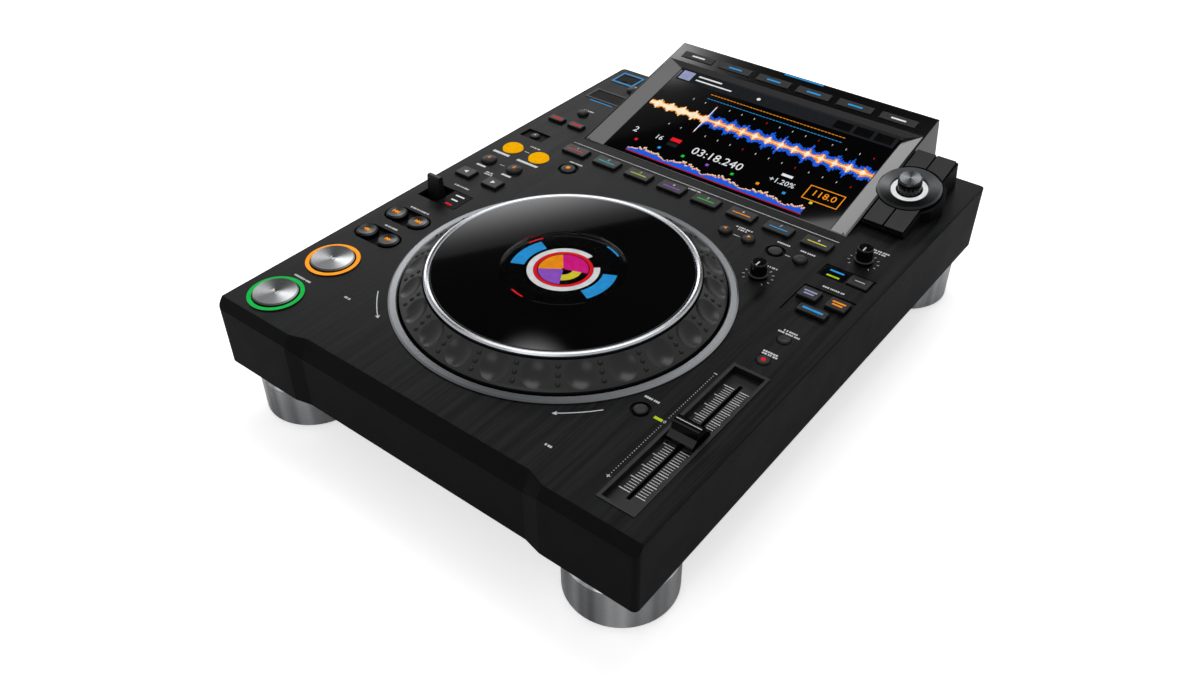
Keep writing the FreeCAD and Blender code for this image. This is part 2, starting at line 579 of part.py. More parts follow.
bearing = new_body("bearing", jog_place)
floor_z = "(base_z + tray_thick + 1 - panel_z)"
revolve(bearing,
        [("centre_post_r + 0.3", floor_z), ("46", floor_z), ("46", "%s + 3" % floor_z),
         ("24", "%s + 7" % floor_z),
         ("22", "0 - bearing_gap"), ("bearing_r", "0 - bearing_gap"), ("bearing_r", "dish_z - 0.5"),
         ("centre_post_r + 0.3", "dish_z - 0.5")])
node("jog_bearing", bearing)

centre = new_body("jog_centre", jog_place)
module_low = "(dish_z + 0.9)"
revolve(centre,
        [("0", "%s + 1" % floor_z), ("centre_post_r", "%s + 1" % floor_z),
         ("centre_post_r", "dish_z - 0.5"),
         ("bearing_r - 0.5", "dish_z - 0.5"), ("bearing_r - 0.5", module_low),
         ("centre_r", module_low),
         ("centre_r", "rim_top - disc_drop - disc_thick - disc_travel - 0.4"),
         ("0", "rim_top - disc_drop - disc_thick - disc_travel - 0.4")])
node("jog_display", centre)

# Display housing, built on its own tilted face and turned down onto the case
tilt = math.radians(size("screen_tilt"))
screen_place = ("screen_x", from_front("screen_y"), TOP)


def tilted(item):
    """Lean an item with the screen, about the front edge of the screen."""
    item.Placement = FreeCAD.Placement(
        FreeCAD.Vector(0, size(from_front("screen_y")), size(TOP)),
        FreeCAD.Rotation(FreeCAD.Vector(1, 0, 0), size("screen_tilt")))
    return item


def lean(depth, height):
    """A point behind and above the screen's front edge, seen square to the screen."""
    along = "(%s) * cos(screen_tilt * 1deg) + (%s) * sin(screen_tilt * 1deg)" % (depth, height)
    out = "(%s) * cos(screen_tilt * 1deg) - (%s) * sin(screen_tilt * 1deg)" % (height, depth)
    return along, out


rear_reach = "(depth - screen_y + 0.3)"
housing = tilted(new_body("housing"))
outline = sketch_on(housing, "YZ_Plane", "screen_x - hump_w / 2")
polygon(outline, [("0", "0"), ("hump_l", "0"), ("hump_l", "0 - hump_rear_h"),
                  lean(rear_reach, "0 - hump_hook"), lean(rear_reach, "0.02"), lean("0.6", "0.02")])
pad(housing, outline, "hump_w")
plug = sketch_on(housing, "YZ_Plane", "screen_x - hump_w / 2 + 4")
polygon(plug, [lean("1.6", "0.3"), lean("1.6", "0 - panel_thick - lid_wall - 8"),
               lean("depth - screen_y - 9", "0 - panel_thick - lid_wall - 8"),
               lean("depth - screen_y - 9", "0.3")])
pad(housing, plug, "hump_w - 8")
soften(housing, "1.2", lambda edge: edge.BoundBox.ZMin > -1e-3 and edge.BoundBox.ZMax < 1e-3
       and edge.BoundBox.YMin > 1)
# Opening for the screen, with walls that slope down to the glass
mouth = sketch_on(housing, "XY_Plane", "0.01")
rectangle(mouth, "screen_x", "(bezel_rear + bezel_front) / 2", "hump_w - 2 * rim_side",
          "bezel_rear - bezel_front")
throat = sketch_on(housing, "XY_Plane", "0 - lcd_depth")
rectangle(throat, "screen_x", "lcd_front + lcd_l / 2", "lcd_w", "lcd_l")
well = housing.newObject("PartDesign::SubtractiveLoft", "screen_well")
well.Profile = mouth
well.Sections = [throat]
well.Ruled = True
# Room for glass and screen module behind the opening
seat = sketch_on(housing, "XY_Plane", "0 - lcd_depth")
rectangle(seat, "screen_x", "lcd_front + lcd_l / 2", "lcd_w + 2 * glass_margin", "lcd_l + 2 * glass_margin")
pocket(housing, seat, "glass_thick + module_thick")
keys_slot = sketch_on(housing, "XY_Plane")
for i in range(int(size("row_key_count"))):
    rectangle(keys_slot, "row_key_x + %d * row_key_step" % i, "row_key_y", "row_key_w + 0.8",
              "row_key_l + 0.8")
pocket(housing, keys_slot, "6")
# Notch where the selector ring reaches over the right side of the screen frame
ring_notch = sketch_on(housing, "XY_Plane")
circle(ring_notch, "dial_x", "dial_y", "dial_r + dial_notch_gap")
pocket(housing, ring_notch, "dial_seat + 0.1")
node("display_housing", housing)

glass = tilted(new_body("glass"))
face = sketch_on(glass, "XY_Plane", "0 - lcd_depth")
rectangle(face, "screen_x", "lcd_front + lcd_l / 2", "lcd_w + 2 * glass_margin - 0.6",
          "lcd_l + 2 * glass_margin - 0.6")
pad(glass, face, "glass_thick", down=True)
node("display_glass", glass)

module = tilted(new_body("module"))
back = sketch_on(module, "XY_Plane", "0 - lcd_depth - glass_thick")
rectangle(back, "screen_x", "lcd_front + lcd_l / 2", "lcd_w + 2 * glass_margin - 2",
          "lcd_l + 2 * glass_margin - 2")
pad(module, back, "module_thick - 0.4", down=True)
node("display_module", module)

row_keys = []
for i in range(int(size("row_key_count"))):
    row_key = tilted(new_body("row_key_%d" % (i + 1)))
    cap_face = sketch_on(row_key, "XY_Plane", "0 - row_key_deep")
    rectangle(cap_face, "row_key_x + %d * row_key_step" % i, "row_key_y", "row_key_w", "row_key_l")
    pad(row_key, cap_face, "row_key_deep + row_key_rise")
    row_keys.append(row_key)
node("display_keys", group("row_of_keys", row_keys))

# Selector: plinth beside the screen, four curved keys, fixed ring, press shaft and knob
plinth = tilted(new_body("plinth"))
foot = sketch_on(plinth, "XY_Plane", "0 - plinth_drop")
middle_x, middle_y = "(plinth_left + plinth_right) / 2", "(plinth_front + plinth_rear) / 2"
rectangle(foot, middle_x, middle_y, "plinth_right - plinth_left", "plinth_rear - plinth_front")
pad(plinth, foot, "plinth_deep", down=True)
bulge = sketch_on(plinth, "XY_Plane", "0 - plinth_drop")
polygon(bulge, [("plinth_left", "dial_y - plinth_bulge_r"), ("dial_x", "dial_y - plinth_bulge_r"),
                ("dial_x + plinth_bulge_r * 0.5", "dial_y - plinth_bulge_r * 0.866"),
                ("dial_x + plinth_bulge_r * 0.866", "dial_y - plinth_bulge_r * 0.5"),
                ("dial_x + plinth_bulge_r", "dial_y"),
                ("dial_x + plinth_bulge_r * 0.866", "dial_y + plinth_bulge_r * 0.5"),
                ("dial_x + plinth_bulge_r * 0.5", "dial_y + plinth_bulge_r * 0.866"),
                ("dial_x", "dial_y + plinth_bulge_r"), ("plinth_left", "dial_y + plinth_bulge_r")])
pad(plinth, bulge, "plinth_deep", down=True)
under = sketch_on(plinth, "YZ_Plane")
polygon(under, [lean("0 - 10", "0.02"), lean("depth - screen_y", "0.02"),
                lean("depth - screen_y", "0 - 2 * plinth_deep"), lean("0 - 10", "0 - 2 * plinth_deep")])
pocket(plinth, under, "10", through=True)


def dial_key_outlines(sketch, grow):
    """Two keys in front of the ring and two behind it."""
    half = "((plinth_right - plinth_left) / 2 - dial_key_margin - dial_key_gap / 2 + 2 * %s)" % grow
    for side, sign in ((0, "-"), (1, "+")):
        u = "%s %s (%s / 2 + dial_key_gap / 2 - %s)" % (middle_x, sign, half, grow)
        for low, high in (("plinth_front + dial_key_margin", "dial_y - dial_key_in_r * 0.6"),
                          ("dial_y + dial_key_in_r * 0.6", "plinth_rear - dial_key_margin")):
            rectangle(sketch, u, "(%s + %s) / 2" % (low, high), half,
                      "%s - (%s) + 2 * %s" % (high, low, grow))


key_holes = sketch_on(plinth, "XY_Plane")
dial_key_outlines(key_holes, "0.3")
pocket(plinth, key_holes, "5")
well_floor = sketch_on(plinth, "XY_Plane")
circle(well_floor, "dial_x", "dial_y", "dial_r + 0.6")
pocket(plinth, well_floor, "dial_seat")
shaft_hole = sketch_on(plinth, "XY_Plane")
circle(shaft_hole, "dial_x", "dial_y", "dial_knob_r + 0.3")
pocket(plinth, shaft_hole, "7.5")
stem_hole = sketch_on(plinth, "XY_Plane")
circle(stem_hole, "dial_x", "dial_y", "dial_shaft_r + 0.1")
pocket(plinth, stem_hole, "2 * plinth_deep")
node("selector_plinth", plinth)

quarter_keys = []
for side in range(2):
    for low, high in (("plinth_front + dial_key_margin", "dial_y - dial_key_in_r * 0.6"),
                      ("dial_y + dial_key_in_r * 0.6", "plinth_rear - dial_key_margin")):
        sign = "-+"[side]
        half = "((plinth_right - plinth_left) / 2 - dial_key_margin - dial_key_gap / 2)"
        quarter = tilted(new_body("dial_key_%d" % (len(quarter_keys) + 1)))
        block = sketch_on(quarter, "XY_Plane", "0 - dial_key_deep")
        rectangle(block, "%s %s (%s / 2 + dial_key_gap / 2)" % (middle_x, sign, half),
                  "(%s + %s) / 2" % (low, high),
                  half, "%s - (%s)" % (high, low))
        pad(quarter, block, "dial_key_deep + dial_key_rise")
        bite = sketch_on(quarter, "XY_Plane", "2")
        circle(bite, "dial_x", "dial_y", "dial_key_in_r")
        pocket(quarter, bite, "8")
        quarter_keys.append(quarter)
node("selector_keys", group("dial_keys", quarter_keys))


def on_dial(item):
    """Put an item on the selector's own axis, square to the tilted face."""
    spot = FreeCAD.Vector(size("dial_x"), size("dial_y") * math.cos(tilt), size("dial_y") * math.sin(tilt))
    start = FreeCAD.Vector(0, size(from_front("screen_y")), size(TOP))
    item.Placement = FreeCAD.Placement(start + spot,
                                       FreeCAD.Rotation(FreeCAD.Vector(1, 0, 0), size("screen_tilt")))
    return item


ring = on_dial(new_body("dial_ring"))
revolve(ring, [("dial_in_r", "0 - dial_seat"), ("dial_r", "0 - dial_seat"), ("dial_r", "dial_rise * 0.4"),
               ("dial_r - 1.4", "dial_rise"), ("dial_in_r + 1", "dial_rise * 0.5"), ("dial_in_r", "0")])
lamp = on_dial(new_body("dial_lamp"))
revolve(lamp, [("dial_light_r", "0 - dial_seat"), ("dial_in_r - 0.05", "0 - dial_seat"),
               ("dial_in_r - 0.05", "0 - 0.3"), ("dial_light_r", "0 - 0.3")])
node("selector_ring", group("dial_rings", [ring, lamp]))

shaft = on_dial(new_body("dial_shaft"))
revolve(shaft, [("0", "0 - dial_shaft_low"), ("dial_shaft_r", "0 - dial_shaft_low"),
                ("dial_shaft_r", "dial_knob_rise - 4"),
                ("0", "dial_knob_rise - 4")])
node("selector_shaft", shaft)

knob = on_dial(new_body("dial_knob"))
revolve(knob, [("dial_shaft_r + 0.05", "0 - 0.8"), ("dial_knob_r - 0.6", "0 - 0.8"), ("dial_knob_r", "0.4"),
               ("dial_knob_r", "dial_knob_rise - 0.9"), ("dial_knob_r - 0.9", "dial_knob_rise"),
               ("0", "dial_knob_rise - 0.5"), ("0", "dial_knob_rise - 3.95"),
               ("dial_shaft_r + 0.05", "dial_knob_rise - 3.95")])
tooth = sketch_on(knob, "XY_Plane", "dial_knob_rise - 2")
circle(tooth, "dial_knob_r + 0.5", "0", "dial_groove_r")
groove = pocket(knob, tooth, "dial_knob_rise - 3")
grooves = knob.newObject("PartDesign::PolarPattern", "grip_grooves")
grooves.Originals = [groove]
grooves.Axis = (tooth, ["N_Axis"])
bind(grooves, "Occurrences", "dial_grooves")
knob.Tip = grooves
node("selector_knob", knob)


def crosswise(name, radius, length, x, y, height):
    """A cylinder that lies along X, centred on x."""
    item = doc.addObject("Part::Cylinder", name)
    bind(item, "Radius", radius)
    bind(item, "Height", length)
    item.Placement = FreeCAD.Placement(
        FreeCAD.Vector(size("%s - (%s) / 2" % (x, length)), size(from_front(y)), size(height)),
        FreeCAD.Rotation(FreeCAD.Vector(0, 1, 0), 90))
    return item


# USB port with its flap, card slot with its door, each lid turning on a pin along its rear edge
LID_AXIS = "(panel_z + 0.1 - door_thick / 2)"


def lid_axis_y(y, lid_d):
    return "(%s + %s / 2 - door_thick / 2)" % (y, lid_d)


def recessed_port(name, x, y, width, depth, lid_w, lid_d, drop, hole_w, hole_d):
    """A frame in the panel round a well that a lid closes."""
    outer = centred_box(name + "_outer", ("%s - 0.2" % width, "%s - 0.2" % depth, "%s + 0.3" % drop),
                        (x, from_front(y)), "panel_z - %s" % drop)
    ledge = centred_box(name + "_ledge", ("%s + 0.6" % lid_w, "%s + 0.6" % lid_d, "door_thick + 1.2"),
                        (x, from_front(y)), "panel_z - door_thick - 0.2")
    hole = centred_box(name + "_hole", (hole_w, hole_d, drop), (x, from_front(y)),
                       "panel_z - %s + 1.2" % drop)
    lip_of = centred_box(name + "_lip", ("%s + 0.8" % width, "%s + 0.8" % depth, "0.3"),
                         (x, from_front(y)), TOP)
    bore = crosswise(name + "_pin_bore", "lid_pin_r + 0.06", "%s + 2 * lid_pin_out + 0.4" % lid_w, x,
                     lid_axis_y(y, lid_d), LID_AXIS)
    openings.append(("square", x, y, "%s - key_gap * 2" % width, "%s - key_gap * 2" % depth))
    return cut(name + "_cut", fuse(name + "_solid", [outer, lip_of]), [ledge, hole, bore])


def hinged_lid(name, x, y, lid_w, lid_d):
    """A flat lid with a round rear edge and a pin that stands out at both ends."""
    plate_of = centred_box(name + "_plate", (lid_w, "%s - door_thick / 2" % lid_d, "door_thick"),
                           (x, from_front("(%s - door_thick / 4)" % y)), "panel_z + 0.1 - door_thick")
    knuckle = crosswise(name + "_knuckle", "door_thick / 2", lid_w, x, lid_axis_y(y, lid_d), LID_AXIS)
    pin_of = crosswise(name + "_pin", "lid_pin_r", "%s + 2 * lid_pin_out" % lid_w, x,
                       lid_axis_y(y, lid_d), LID_AXIS)
    return fuse(name + "_lid", [plate_of, knuckle, pin_of])


node("usb_port", recessed_port("usb_frame", "usb_x", "usb_y", "usb_w", "usb_d", "usb_flap_w", "usb_flap_d",
                               "usb_depth", "13", "6"))
CARD_LID_W, CARD_LID_D = "(card_w - 3.4)", "(card_d - 3.4)"
node("card_slot",
     recessed_port("card_frame", "card_x", "card_y", "card_w", "card_d", CARD_LID_W, CARD_LID_D,
                   "card_depth", "26", "5"))
nick = cylinder("flap_nick", "3.2", "3",
                ("usb_x", from_front("(usb_y - usb_flap_d / 2 - 0.8)"), "panel_z - 1"))
node("usb_flap",
     cut("usb_flap_cut", hinged_lid("flap", "usb_x", "usb_y", "usb_flap_w", "usb_flap_d"), [nick]))
node("card_door", hinged_lid("door", "card_x", "card_y", CARD_LID_W, CARD_LID_D))


# Openings of all controls, cut through the panel and the case below it
def key_openings(prefix, low, high):
    tools = []
    for i, (kind, x, y, across, deep) in enumerate(openings):
        name = "%s_hole_%d" % (prefix, i)
        if kind == "round":
            tools.append(cylinder(name, "%s + key_gap" % across, "%s - (%s)" % (high, low),
                                  (x, from_front(y), low)))
        else:
            tools.append(centred_box(name, ("%s + 2 * key_gap" % across, "%s + 2 * key_gap" % deep,
                                            "%s - (%s)" % (high, low)), (x, from_front(y)), low))
    return tools


def slab(name, x, y, width, depth, low, high):
    return centred_box(name, (width, depth, "%s - (%s)" % (high, low)), (x, from_front(y)), low)


ABOVE = "(panel_z + 1)"
# Brushed top panel, a plate with the outline of the case's front edge
panel = new_body("panel_plate")
sheet_outline = sketch_on(panel, "XY_Plane", CASE_TOP)
edge_x = "(width / 2 - panel_inset)"
polygon(sheet_outline, [
    ("0 - " + edge_x, "front_y + chamfer_side_y + 0.2"), ("nose_left", "front_y + chamfer_side_y + 0.2"),
    ("nose_left + nose_blend", "front_y + chamfer_mid_y + 0.2"),
    ("nose_right - nose_blend", "front_y + chamfer_mid_y + 0.2"),
    ("nose_right", "front_y + chamfer_side_y + 0.2"), (edge_x, "front_y + chamfer_side_y + 0.2"),
    (edge_x, "front_y + depth - panel_inset"), ("0 - " + edge_x, "front_y + depth - panel_inset")])
pad(panel, sheet_outline, "panel_thick")


def shared_cuts(prefix, low):
    """What both the panel and the case lid leave open."""
    tools = key_openings(prefix, low, ABOVE)
    tools.append(cylinder(prefix + "_jog", "surround_in_r + 1.7", "%s - (%s)" % (ABOVE, low),
                          ("jog_x", from_front("jog_y"), low)))
    tools.append(slab(prefix + "_screen", "screen_x", "(screen_y + depth - 7.2) / 2", "hump_w - 7.6",
                      "depth - screen_y - 10", low, ABOVE))
    tools.append(slab(prefix + "_fader", "fader_x", "fader_y", "fader_w", "fader_d", low, ABOVE))
    tools.append(slab(prefix + "_lever", "slot_x", "slot_y", "slot_w", "slot_d", low, ABOVE))
    return tools


panel_tools = shared_cuts("panel", "panel_z - panel_thick - 1")
for place in ("cue", "play"):
    panel_tools.append(cylinder("panel_" + place, "ring_r + 0.1", "4",
                                (place + "_x", from_front(place + "_y"), "panel_z - 3")))
panel_tools.append(slab("panel_window", "window_x", "slot_y", "window_w + 1.2", "slot_d + 0.6",
                        "(panel_z - 3)", ABOVE))
panel_tools.append(slab("panel_mode", "mode_x", "mode_y", "mode_w", "mode_d", "(panel_z - 3)", ABOVE))
for label, radius in (("reloop", "reloop_well"), ("delete", "delete_well"), ("reset", "reset_well")):
    y = "call_y" if label == "delete" else label + "_y"
    panel_tools.append(cylinder("panel_well_" + label, radius, "4",
                                (label + "_x", from_front(y), "panel_z - 3")))
for y in ("search_y", "track_y"):
    panel_tools.append(slab("panel_pill_" + y, "pair_x", y, "2 * pair_half", "2 * pill_r", "(panel_z - 3)",
                            ABOVE))
    for side, sign in (("l", "-"), ("r", "+")):
        panel_tools.append(cylinder("panel_pill_%s_%s" % (y, side), "pill_r", "4",
                                    ("pair_x %s pair_half" % sign, from_front(y), "panel_z - 3")))
panel_tools.append(slab("panel_mode_tray", "mode_tray_x", "mode_tray_y", "mode_tray_w", "mode_tray_d",
                        "(panel_z - tray_depth)", ABOVE))
panel_tools.append(slab("panel_sync_tray", "sync_tray_x", "sync_tray_y", "sync_tray_w", "sync_tray_d",
                        "(panel_z - tray_depth)", ABOVE))
node("top_panel", cut("top_panel_cut", panel, panel_tools))

# Upper case, a ruled loft across the width whose front nose steps back in the middle
case = new_body("case_shell")


def case_section(x, set_back, slope_y, slope_z):
    section = sketch_on(case, "YZ_Plane", x)
    polygon(section,
            [("front_y + depth", "base_z"), ("front_y + depth", TOP), ("front_y + %s" % slope_y, TOP),
             ("front_y + %s" % set_back, "panel_z - %s" % slope_z),
             ("front_y + %s" % set_back, "base_z")])
    return section


stations = [case_section("0 - width / 2", "0", "chamfer_side_y", "chamfer_side_z"),
            case_section("nose_left", "0", "chamfer_side_y", "chamfer_side_z"),
            case_section("nose_left + nose_blend", "nose_set_back", "chamfer_mid_y", "chamfer_mid_z"),
            case_section("nose_right - nose_blend", "nose_set_back", "chamfer_mid_y", "chamfer_mid_z"),
            case_section("nose_right", "0", "chamfer_side_y", "chamfer_side_z"),
            case_section("width / 2", "0", "chamfer_side_y", "chamfer_side_z")]
skin = case.newObject("PartDesign::AdditiveLoft", "case_skin")
skin.Profile = stations[0]
skin.Sections = stations[1:]
skin.Ruled = True
seat_x = "(width / 2 - panel_inset + 0.1)"
inside = sketch_on(case, "XY_Plane", "base_z")
rectangle(inside, "0", "front_y + (depth + front_wall - case_wall) / 2", "width - 2 * case_wall",
          "depth - front_wall - case_wall")
pocket(case, inside, "%s - base_z" % CASE_LOW, up=True)

case_tools = shared_cuts("case", "%s - 1" % CASE_LOW)
plate_seat = new_body("plate_seat")
seat_outline = sketch_on(plate_seat, "XY_Plane", CASE_TOP)
polygon(seat_outline, [
    ("0 - " + seat_x, "front_y + chamfer_side_y + 0.1"), ("nose_left", "front_y + chamfer_side_y + 0.1"),
    ("nose_left + nose_blend", "front_y + chamfer_mid_y + 0.1"),
    ("nose_right - nose_blend", "front_y + chamfer_mid_y + 0.1"),
    ("nose_right", "front_y + chamfer_side_y + 0.1"), (seat_x, "front_y + chamfer_side_y + 0.1"),
    (seat_x, "front_y + depth - panel_inset + 0.1"),
    ("0 - " + seat_x, "front_y + depth - panel_inset + 0.1")])
pad(plate_seat, seat_outline, "panel_thick + 1")
case_tools.append(plate_seat)
for y in ("search_y", "track_y"):
    case_tools.append(slab("case_pill_" + y, "pair_x", y, "2 * pair_half", "2 * pill_r",
                           "(panel_z - pill_depth)", ABOVE))
    for side, sign in (("l", "-"), ("r", "+")):
        case_tools.append(cylinder("case_pill_%s_%s" % (y, side), "pill_r", "4",
                                   ("pair_x %s pair_half" % sign, from_front(y), "panel_z - pill_depth")))
case_tools.append(slab("case_rear_window", "0", "depth", "rear_window_w", "20", "rear_window_low",
                       "rear_window_high"))
block = rounded("corner_block", slab("case_block", "0", "depth / 2", "width", "depth", "base_z", TOP),
                "corner_round", upright)
round_case = doc.addObject("Part::Common", "case_with_round_corners")
round_case.Base = case
round_case.Tool = block
bare_case = cut("case_bare", round_case, case_tools)
ears = []
for side, sign in (("left", "-"), ("right", "+")):
    spot = "slot_x %s (lever_w / 2 + 0.15 + lever_ear / 2)" % sign
    side_strap = slab("strap_" + side, spot, "(slot_y + slot_d / 2 + 1.5)", "lever_ear - 0.2", "4",
                      "(panel_z - lever_pivot_drop - 3.5)", "(%s + 0.5)" % CASE_LOW)
    bridge = slab("bridge_" + side, spot, "(slot_y + slot_d / 4)", "lever_ear - 0.2", "slot_d / 2 + 6",
                  "(panel_z - lever_pivot_drop - 3.5)", "(panel_z - lever_pivot_drop + 3)")
    ears += [side_strap, bridge]
window_pad = slab("window_pad", "window_x", "slot_y", "window_w", "slot_d", "(%s - 0.1)" % CASE_TOP,
                  "(panel_z - 0.3)")
ear_bore = crosswise("ear_bore", "lever_pin_r + 0.05", "lever_w + 4 * lever_ear", "slot_x", "slot_y",
                     "panel_z - lever_pivot_drop")
node("top_case", cut("top_case_cut", fuse("case_with_ears", [bare_case, window_pad] + ears), [ear_bore]))

# Bottom tray: sheet steel with a vented floor and an upright rear wall for the sockets
tray_w, tray_d = "(width - 2 * case_wall)", "(depth - front_wall - case_wall)"
tray_y = "(front_wall + %s / 2)" % tray_d
floor_plate = slab("tray_floor", "0", tray_y, tray_w, tray_d, "base_z + 1", "(base_z + 1 + tray_thick)")
rear_plate = slab("tray_rear", "0", "(depth - case_wall - tray_thick / 2)", tray_w, "tray_thick",
                  "base_z + 1", "tray_rear_high")
side_plates = [slab("tray_side_" + side, "0 %s (%s / 2 - tray_thick / 2)" % (sign, tray_w), tray_y,
                    "tray_thick", tray_d, "base_z + 1", "(base_z + 13)")
               for side, sign in (("left", "-"), ("right", "+"))]
posts = [cylinder("post_%d" % i, "post_r", "board_z - base_z - tray_thick - 0.9",
                  (x, from_front(y), "base_z + tray_thick + 0.9"))
         for i, (x, y) in enumerate((x, y) for x in ("0 - post_x", "post_x") for y in ("20", "250", "395"))]
vents = []
for i in range(int(size("vent_count"))):
    for side, sign in (("left", "-"), ("right", "+")):
        vents.append(slab("vent_%s_%d" % (side, i), "0 %s 75" % sign, "(150 + %d * vent_pitch)" % i,
                          "vent_w", "vent_slot", "base_z", "(base_z + 4)"))
REAR = "(depth - case_wall - tray_thick)"
SOCKETS = [("inlet", "inlet_x", "inlet_w - 3", "inlet_h - 3"),
           ("power", "power_x", "power_w + 0.8", "power_h + 0.8"),
           ("lan", "lan_x", "16.4", "14.4"), ("usb_b", "usb_b_x", "12.4", "11.4")]
holes = [centred_box("rear_hole_" + name, (across, "6", tall), (x, from_front("(depth - case_wall)")),
                     "socket_z - (%s) / 2" % tall) for name, x, across, tall in SOCKETS]


def rearward(name, radius, length, x, start):
    """A cylinder that lies along Y from the given distance behind the front edge."""
    item = doc.addObject("Part::Cylinder", name)
    bind(item, "Radius", radius)
    bind(item, "Height", length)
    item.Placement = FreeCAD.Placement(
        FreeCAD.Vector(size(x), size(from_front(start)), size("socket_z")),
        FreeCAD.Rotation(FreeCAD.Vector(1, 0, 0), -90))
    return item


for i in range(int(size("jack_count"))):
    holes.append(rearward("rear_hole_jack_%d" % i, "jack_r + 0.2", "8", "jack_x - %d * jack_step" % i,
                          "(depth - 8)"))
node("bottom_tray",
     cut("tray_cut", fuse("tray_solid", [floor_plate, rear_plate] + side_plates + posts), vents + holes))

# Sockets in the rear wall
inlet_block = centred_box("inlet_block", ("inlet_w - 3.2", "inlet_deep", "inlet_h - 3.2"),
                          ("inlet_x", from_front("(depth - rear_recess - inlet_deep / 2 + 1.6)")),
                          "socket_z - (inlet_h - 3.2) / 2")
inlet_hole = centred_box("inlet_hole", ("inlet_hole_w", "inlet_deep", "inlet_hole_h"),
                         ("inlet_x", from_front("(depth - inlet_deep / 2 + 1)")),
                         "socket_z - inlet_hole_h / 2")
blades = [centred_box("blade_%d" % i, ("2", "12", "4"),
                      ("inlet_x + %d" % across, from_front("(depth - inlet_deep + 6)")),
                      "socket_z - 2 + %d" % up)
          for i, (across, up) in enumerate(((-7, -2), (0, 2), (7, -2)))]
inlet_flange = centred_box("inlet_flange", ("inlet_w", "1.2", "inlet_h"),
                           ("inlet_x", from_front("(depth - case_wall + 0.6)")),
                           "socket_z - inlet_h / 2")
inlet_shell = cut("inlet_cut", fuse("inlet_solid", [inlet_block, inlet_flange]), [inlet_hole])
node("ac_inlet", fuse("inlet_done", [inlet_shell] + blades))


def carrier(name, x, across, tall):
    """The part of a socket that bears on the inside of the rear wall."""
    return centred_box(name, (across, "carrier_deep", tall),
                       (x, from_front("(%s - carrier_deep / 2)" % REAR)), "socket_z - (%s) / 2" % tall)


def square_socket(name):
    """A square signal socket, open to the rear, on its carrier."""
    x, width, tall = name + "_x", name + "_w", name + "_h"
    barrel_of = centred_box(name + "_block", (width, "socket_deep", tall),
                            (x, from_front("(depth - 2 - socket_deep / 2)")), "socket_z - %s / 2" % tall)
    bore_of = centred_box(name + "_bore", (name + "_hole_w", "socket_bore_deep", name + "_hole_h"),
                          (x, from_front("(depth + 2 - socket_bore_deep / 2)")),
                          "socket_z - %s_hole_h / 2" % name)
    solid = fuse(name + "_solid", [barrel_of, carrier(name + "_carrier", x, width + " + 4", tall + " + 4")])
    return cut(name + "_cut", solid, [bore_of])


lan_body = square_socket("lan")
usb_body = square_socket("usb_b")
jacks = []
for i in range(int(size("jack_count"))):
    x = "jack_x - %d * jack_step" % i
    barrel_of = rearward("jack_%d" % i, "jack_r", "socket_deep + 2", x, "(depth - socket_deep)")
    bore_of = rearward("jack_bore_%d" % i, "jack_bore_r", "8", x, "(depth - 5)")
    jack_body = fuse("jack_solid_%d" % i, [barrel_of, carrier("jack_carrier_%d" % i, x, "13", "13")])
    jacks.append(cut("jack_cut_%d" % i, jack_body, [bore_of]))
node("rear_sockets", group("socket_group", [lan_body, usb_body] + jacks))
node("power_button",
     centred_box("power_cap", ("power_w", "12", "power_h"), ("power_x", from_front("(depth - 5.5)")),
                 "socket_z - power_h / 2"))

# Control board with a switch under each key, and the power supply
board = centred_box("board_plate", ("width - 14", "depth - 24", "board_thick"),
                    ("0", from_front("(depth / 2 + 3)")), "board_z")
board_cuts = [cylinder("board_jog", "board_hole_r", "6", ("jog_x", from_front("jog_y"), "board_z - 2")),
              slab("board_fader", "fader_x", "cap_centre_y", "fader_body_w + 2", "fader_travel + 30",
                   "(board_z - 2)", "(board_z + 4)"),
              slab("board_lever", "slot_x", "slot_y", "slot_w + 3", "32", "(board_z - 2)", "(board_z + 4)"),
              slab("board_usb", "usb_x", "usb_y", "usb_w + 2", "usb_d + 2", "(board_z - 2)",
                   "(board_z + 4)"),
              slab("board_rear", "0", "(depth - 6)", "width - 40", "40", "(board_z - 2)", "(board_z + 4)")]
switches = [centred_box("switch_%d" % i,
                        ("switch_w", "switch_w", "stem_low_z - key_travel - 0.1 - board_z"),
                        (x, from_front(y)), "board_z")
            for i, (kind, x, y, across, deep) in enumerate(openings)
            if "knob" not in across and "usb" not in x and "card" not in x]
node("control_board", cut("board_cut", fuse("board_solid", [board] + switches), board_cuts))
supply = centred_box("supply_can", ("supply_w", "supply_d", "supply_h"),
                     ("supply_x", from_front("supply_y")), "base_z + tray_thick + 1")
node("power_supply", supply)

# Feet: four turned cups on black necks, each with a rubber pad
cups = []
pads = []
for i, (sign, y) in enumerate((("-", "foot_front"), ("+", "foot_front"), ("-", "foot_rear"),
                               ("+", "foot_rear"))):
    place = ("0 %s foot_x" % sign, from_front(y), "0")
    cup = new_body("foot_cup_%d" % i, place)
    revolve(cup, [("0", "pad_top"), ("pad_radius + 0.3", "pad_top"), ("pad_radius + 0.3", "foot_low_z"),
                  ("foot_radius - 1", "foot_low_z"), ("foot_radius", "foot_low_z + 1"),
                  ("foot_radius", "foot_rim_z - 1.2"), ("foot_radius - 1.2", "foot_rim_z"),
                  ("foot_neck_r", "foot_rim_z"), ("foot_neck_r", "base_z + 1"), ("0", "base_z + 1")])
    cups.append(cup)
    pads.append(cylinder("foot_pad_%d" % i, "pad_radius", "pad_top",
                         ("0 %s foot_x" % sign, from_front(y), "0")))
node("foot_cups", group("cup_group", cups))
node("foot_pads", group("pad_group", pads))

